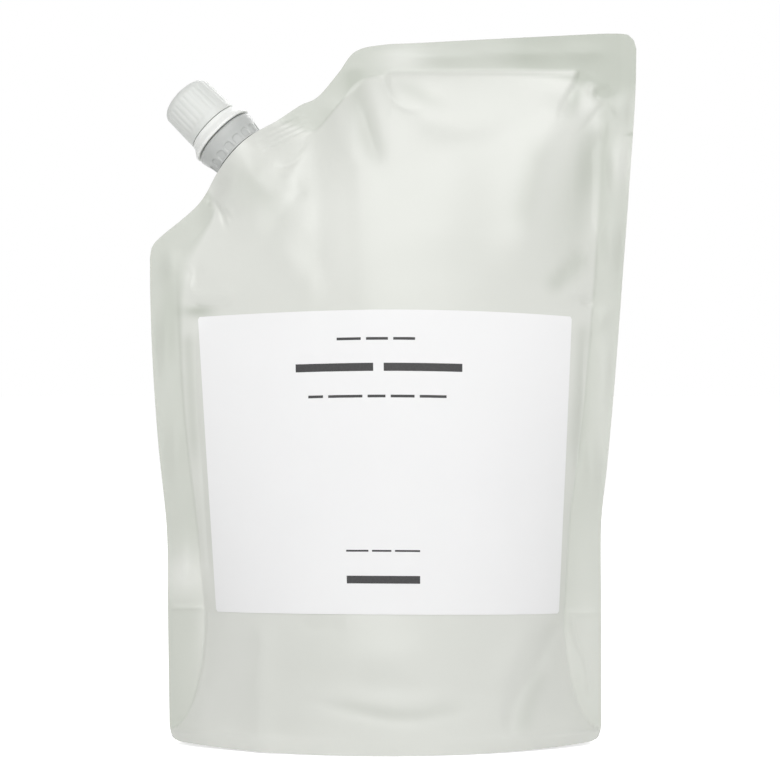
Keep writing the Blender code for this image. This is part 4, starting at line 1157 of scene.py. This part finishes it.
def build_ring():
    bore = BEAD_RADIUS + RUNNING_GAP
    lip = NECK_RADIUS + RUNNING_GAP
    lip_top = BEAD_LOW - RUNNING_GAP
    profile = [(bore, RING_TOP), (RING_TOP_RADIUS, RING_TOP),
               (RING_TOP_RADIUS + RING_FLARE, RING_TOP - RING_BAND), (RING_FOOT_RADIUS, RING_LOW + RING_RIM),
               (RING_FOOT_RADIUS, RING_LOW), (lip, RING_LOW), (lip, lip_top), (bore, lip_top),
               (bore, RING_TOP)]
    profile = densified(rounded(profile, FINE_ROUNDING), PROFILE_SPACING)
    mesh = turned_mesh("ring_flare", profile, RING_STEPS)
    add_piece("ring_flare", mesh, [RING_WHITE_LIFTED_AGAINST_SHADE], "pack", ["tamper_ring"])


def spout_profile():
    profile = [(BORE_RADIUS, -WELD_DEPTH), (BORE_RADIUS, MOUTH), (NECK_RADIUS - NECK_EDGE, MOUTH),
               (NECK_RADIUS, MOUTH - NECK_EDGE), (NECK_RADIUS, BEAD_LOW + BEAD_HEIGHT),
               (BEAD_RADIUS, BEAD_LOW), (NECK_RADIUS, BEAD_LOW), (NECK_RADIUS, COLLAR_TOP),
               (COLLAR_RADIUS - COLLAR_EDGE, COLLAR_TOP), (COLLAR_RADIUS, COLLAR_TOP - COLLAR_WIDEST_DROP),
               *COLLAR_SIDE, (BEAD_RADIUS, COLLAR_FOOT), (BEAD_RADIUS, -WELD_TOP)]
    return densified(rounded(profile, FINE_ROUNDING), SPOUT_SPACING)


def collar_windows(angle, radius, height):
    turn = (angle * WINDOW_COUNT / (2.0 * math.pi)) % 1.0 - 0.5
    aside = turn * 2.0 * math.pi * WINDOW_RADIUS / WINDOW_COUNT
    curve = np.sqrt(np.clip(1.0 - (aside / WINDOW_HALF_WIDTH) ** 2, 0.0, 1.0))
    arch = WINDOW_TOP - WINDOW_ARCH * (1.0 - curve)
    inside = smooth_step((WINDOW_HALF_WIDTH - np.abs(aside)) / WINDOW_SIDE_FADE)
    inside = inside * smooth_step((arch - height) / WINDOW_TOP_FADE)
    inside = inside * smooth_step((height - WINDOW_LOW) / WINDOW_SIDE_FADE)
    return radius - np.where(radius > WINDOW_LEAST_RADIUS, WINDOW_DEPTH * inside, 0.0)


def build_spout():
    mesh = turned_mesh("spout_body", spout_profile(), WINDOW_COUNT * STEPS_PER_WINDOW, collar_windows)
    add_piece("spout_body", mesh, [GREY], "pack", ["spout"])


def build_thread():
    """Screw thread on the neck, whose lead is the cap's rise in one turn."""
    share = shares(THREAD_STEPS + 1)
    angle = share * THREAD_TURNS * 2.0 * math.pi
    swell = np.clip(np.minimum(share, 1.0 - share) / THREAD_RUN_OUT, THREAD_LEAST, 1.0)
    corners = []
    for out, up in THREAD_SECTION:
        radius = NECK_RADIUS + out * swell
        height = THREAD_START + THREAD_LEAD * share * THREAD_TURNS + up * swell
        corners.append(np.stack([radius * np.cos(angle), radius * np.sin(angle), height], axis=-1))
    local = np.stack(corners, axis=1)
    mesh = axis_mesh("neck_thread", local, np.arange(angle.size * len(corners)).reshape(-1, len(corners)))
    mesh.update()
    add_piece("neck_thread", mesh, [GREY], "pack")


def dress_seal():
    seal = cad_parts["cap_seal"]
    seal.data.materials.clear()
    seal.data.materials.append(FOAM)


# Floor, light and camera
def seen_directly(tree):
    """One for rays of the camera, of mirrors and through glass, none for light that falls on things."""
    path = tree.nodes.new("ShaderNodeLightPath")
    found = path.outputs["Is Camera Ray"]
    for kind in ("Is Glossy Ray", "Is Transmission Ray"):
        either = tree.nodes.new("ShaderNodeMath")
        either.operation = "MAXIMUM"
        tree.links.new(found, either.inputs[0])
        tree.links.new(path.outputs[kind], either.inputs[1])
        found = either.outputs["Value"]
    return found


def add_floor():
    bpy.ops.mesh.primitive_plane_add(size=FLOOR_SIZE, location=FLOOR_PLACE)
    floor = bpy.context.object
    floor.name = "floor"
    made, tree, shader = new_material("floor_white")
    fill(shader, {"Base Color": FLOOR_WHITE, "Roughness": 0.9, "Specular IOR Level": 0.0})
    glow = fill(tree.nodes.new("ShaderNodeEmission"), {"Color": FULL_WHITE})
    scaled = fill(tree.nodes.new("ShaderNodeMath"), {1: FLOOR_GLOW})
    scaled.operation = "MULTIPLY"
    tree.links.new(seen_directly(tree), scaled.inputs[0])
    tree.links.new(scaled.outputs["Value"], glow.inputs["Strength"])
    both = tree.nodes.new("ShaderNodeAddShader")
    tree.links.new(shader.outputs["BSDF"], both.inputs[0])
    tree.links.new(glow.outputs["Emission"], both.inputs[1])
    tree.links.new(both.outputs["Shader"], tree.nodes["Material Output"].inputs["Surface"])
    floor.data.materials.append(made)


def add_world():
    world = bpy.data.worlds.new("studio")
    bpy.context.scene.world = world
    world.use_nodes = True
    tree = world.node_tree
    background = fill(tree.nodes["Background"], {"Color": FULL_WHITE})
    tree.links.new(spread(tree, seen_directly(tree), AMBIENT, 1.0), background.inputs["Strength"])


def add_light(name, place, aim, size, power):
    lamp = bpy.data.lights.new(name, "AREA")
    lamp.shape = "RECTANGLE"
    lamp.size, lamp.size_y = size
    lamp.energy = power
    item = add_object(name, lamp)
    item.location = place
    item.rotation_mode = "QUATERNION"
    item.rotation_quaternion = (Vector((0.0, 0.0, aim)) - Vector(place)).to_track_quat("-Z", "Y")


def add_camera():
    data = bpy.data.cameras.new("camera")
    data.sensor_width = SENSOR
    data.lens = FOCAL_PX * SENSOR / (2.0 * HALF_PX)
    camera = add_object("camera", data)
    camera.location = CAMERA
    camera.rotation_euler = (0.5 * math.pi, 0.0, 0.0)
    bpy.context.scene.camera = camera


build_front_film()
build_rear_film()
build_label()
build_print()
build_spout()
build_thread()
build_ring()
build_cap()
dress_seal()
add_floor()
add_world()
for light in STUDIO_LIGHTS:
    add_light(*light)
add_camera()
bpy.context.scene.view_settings.view_transform = "Standard"
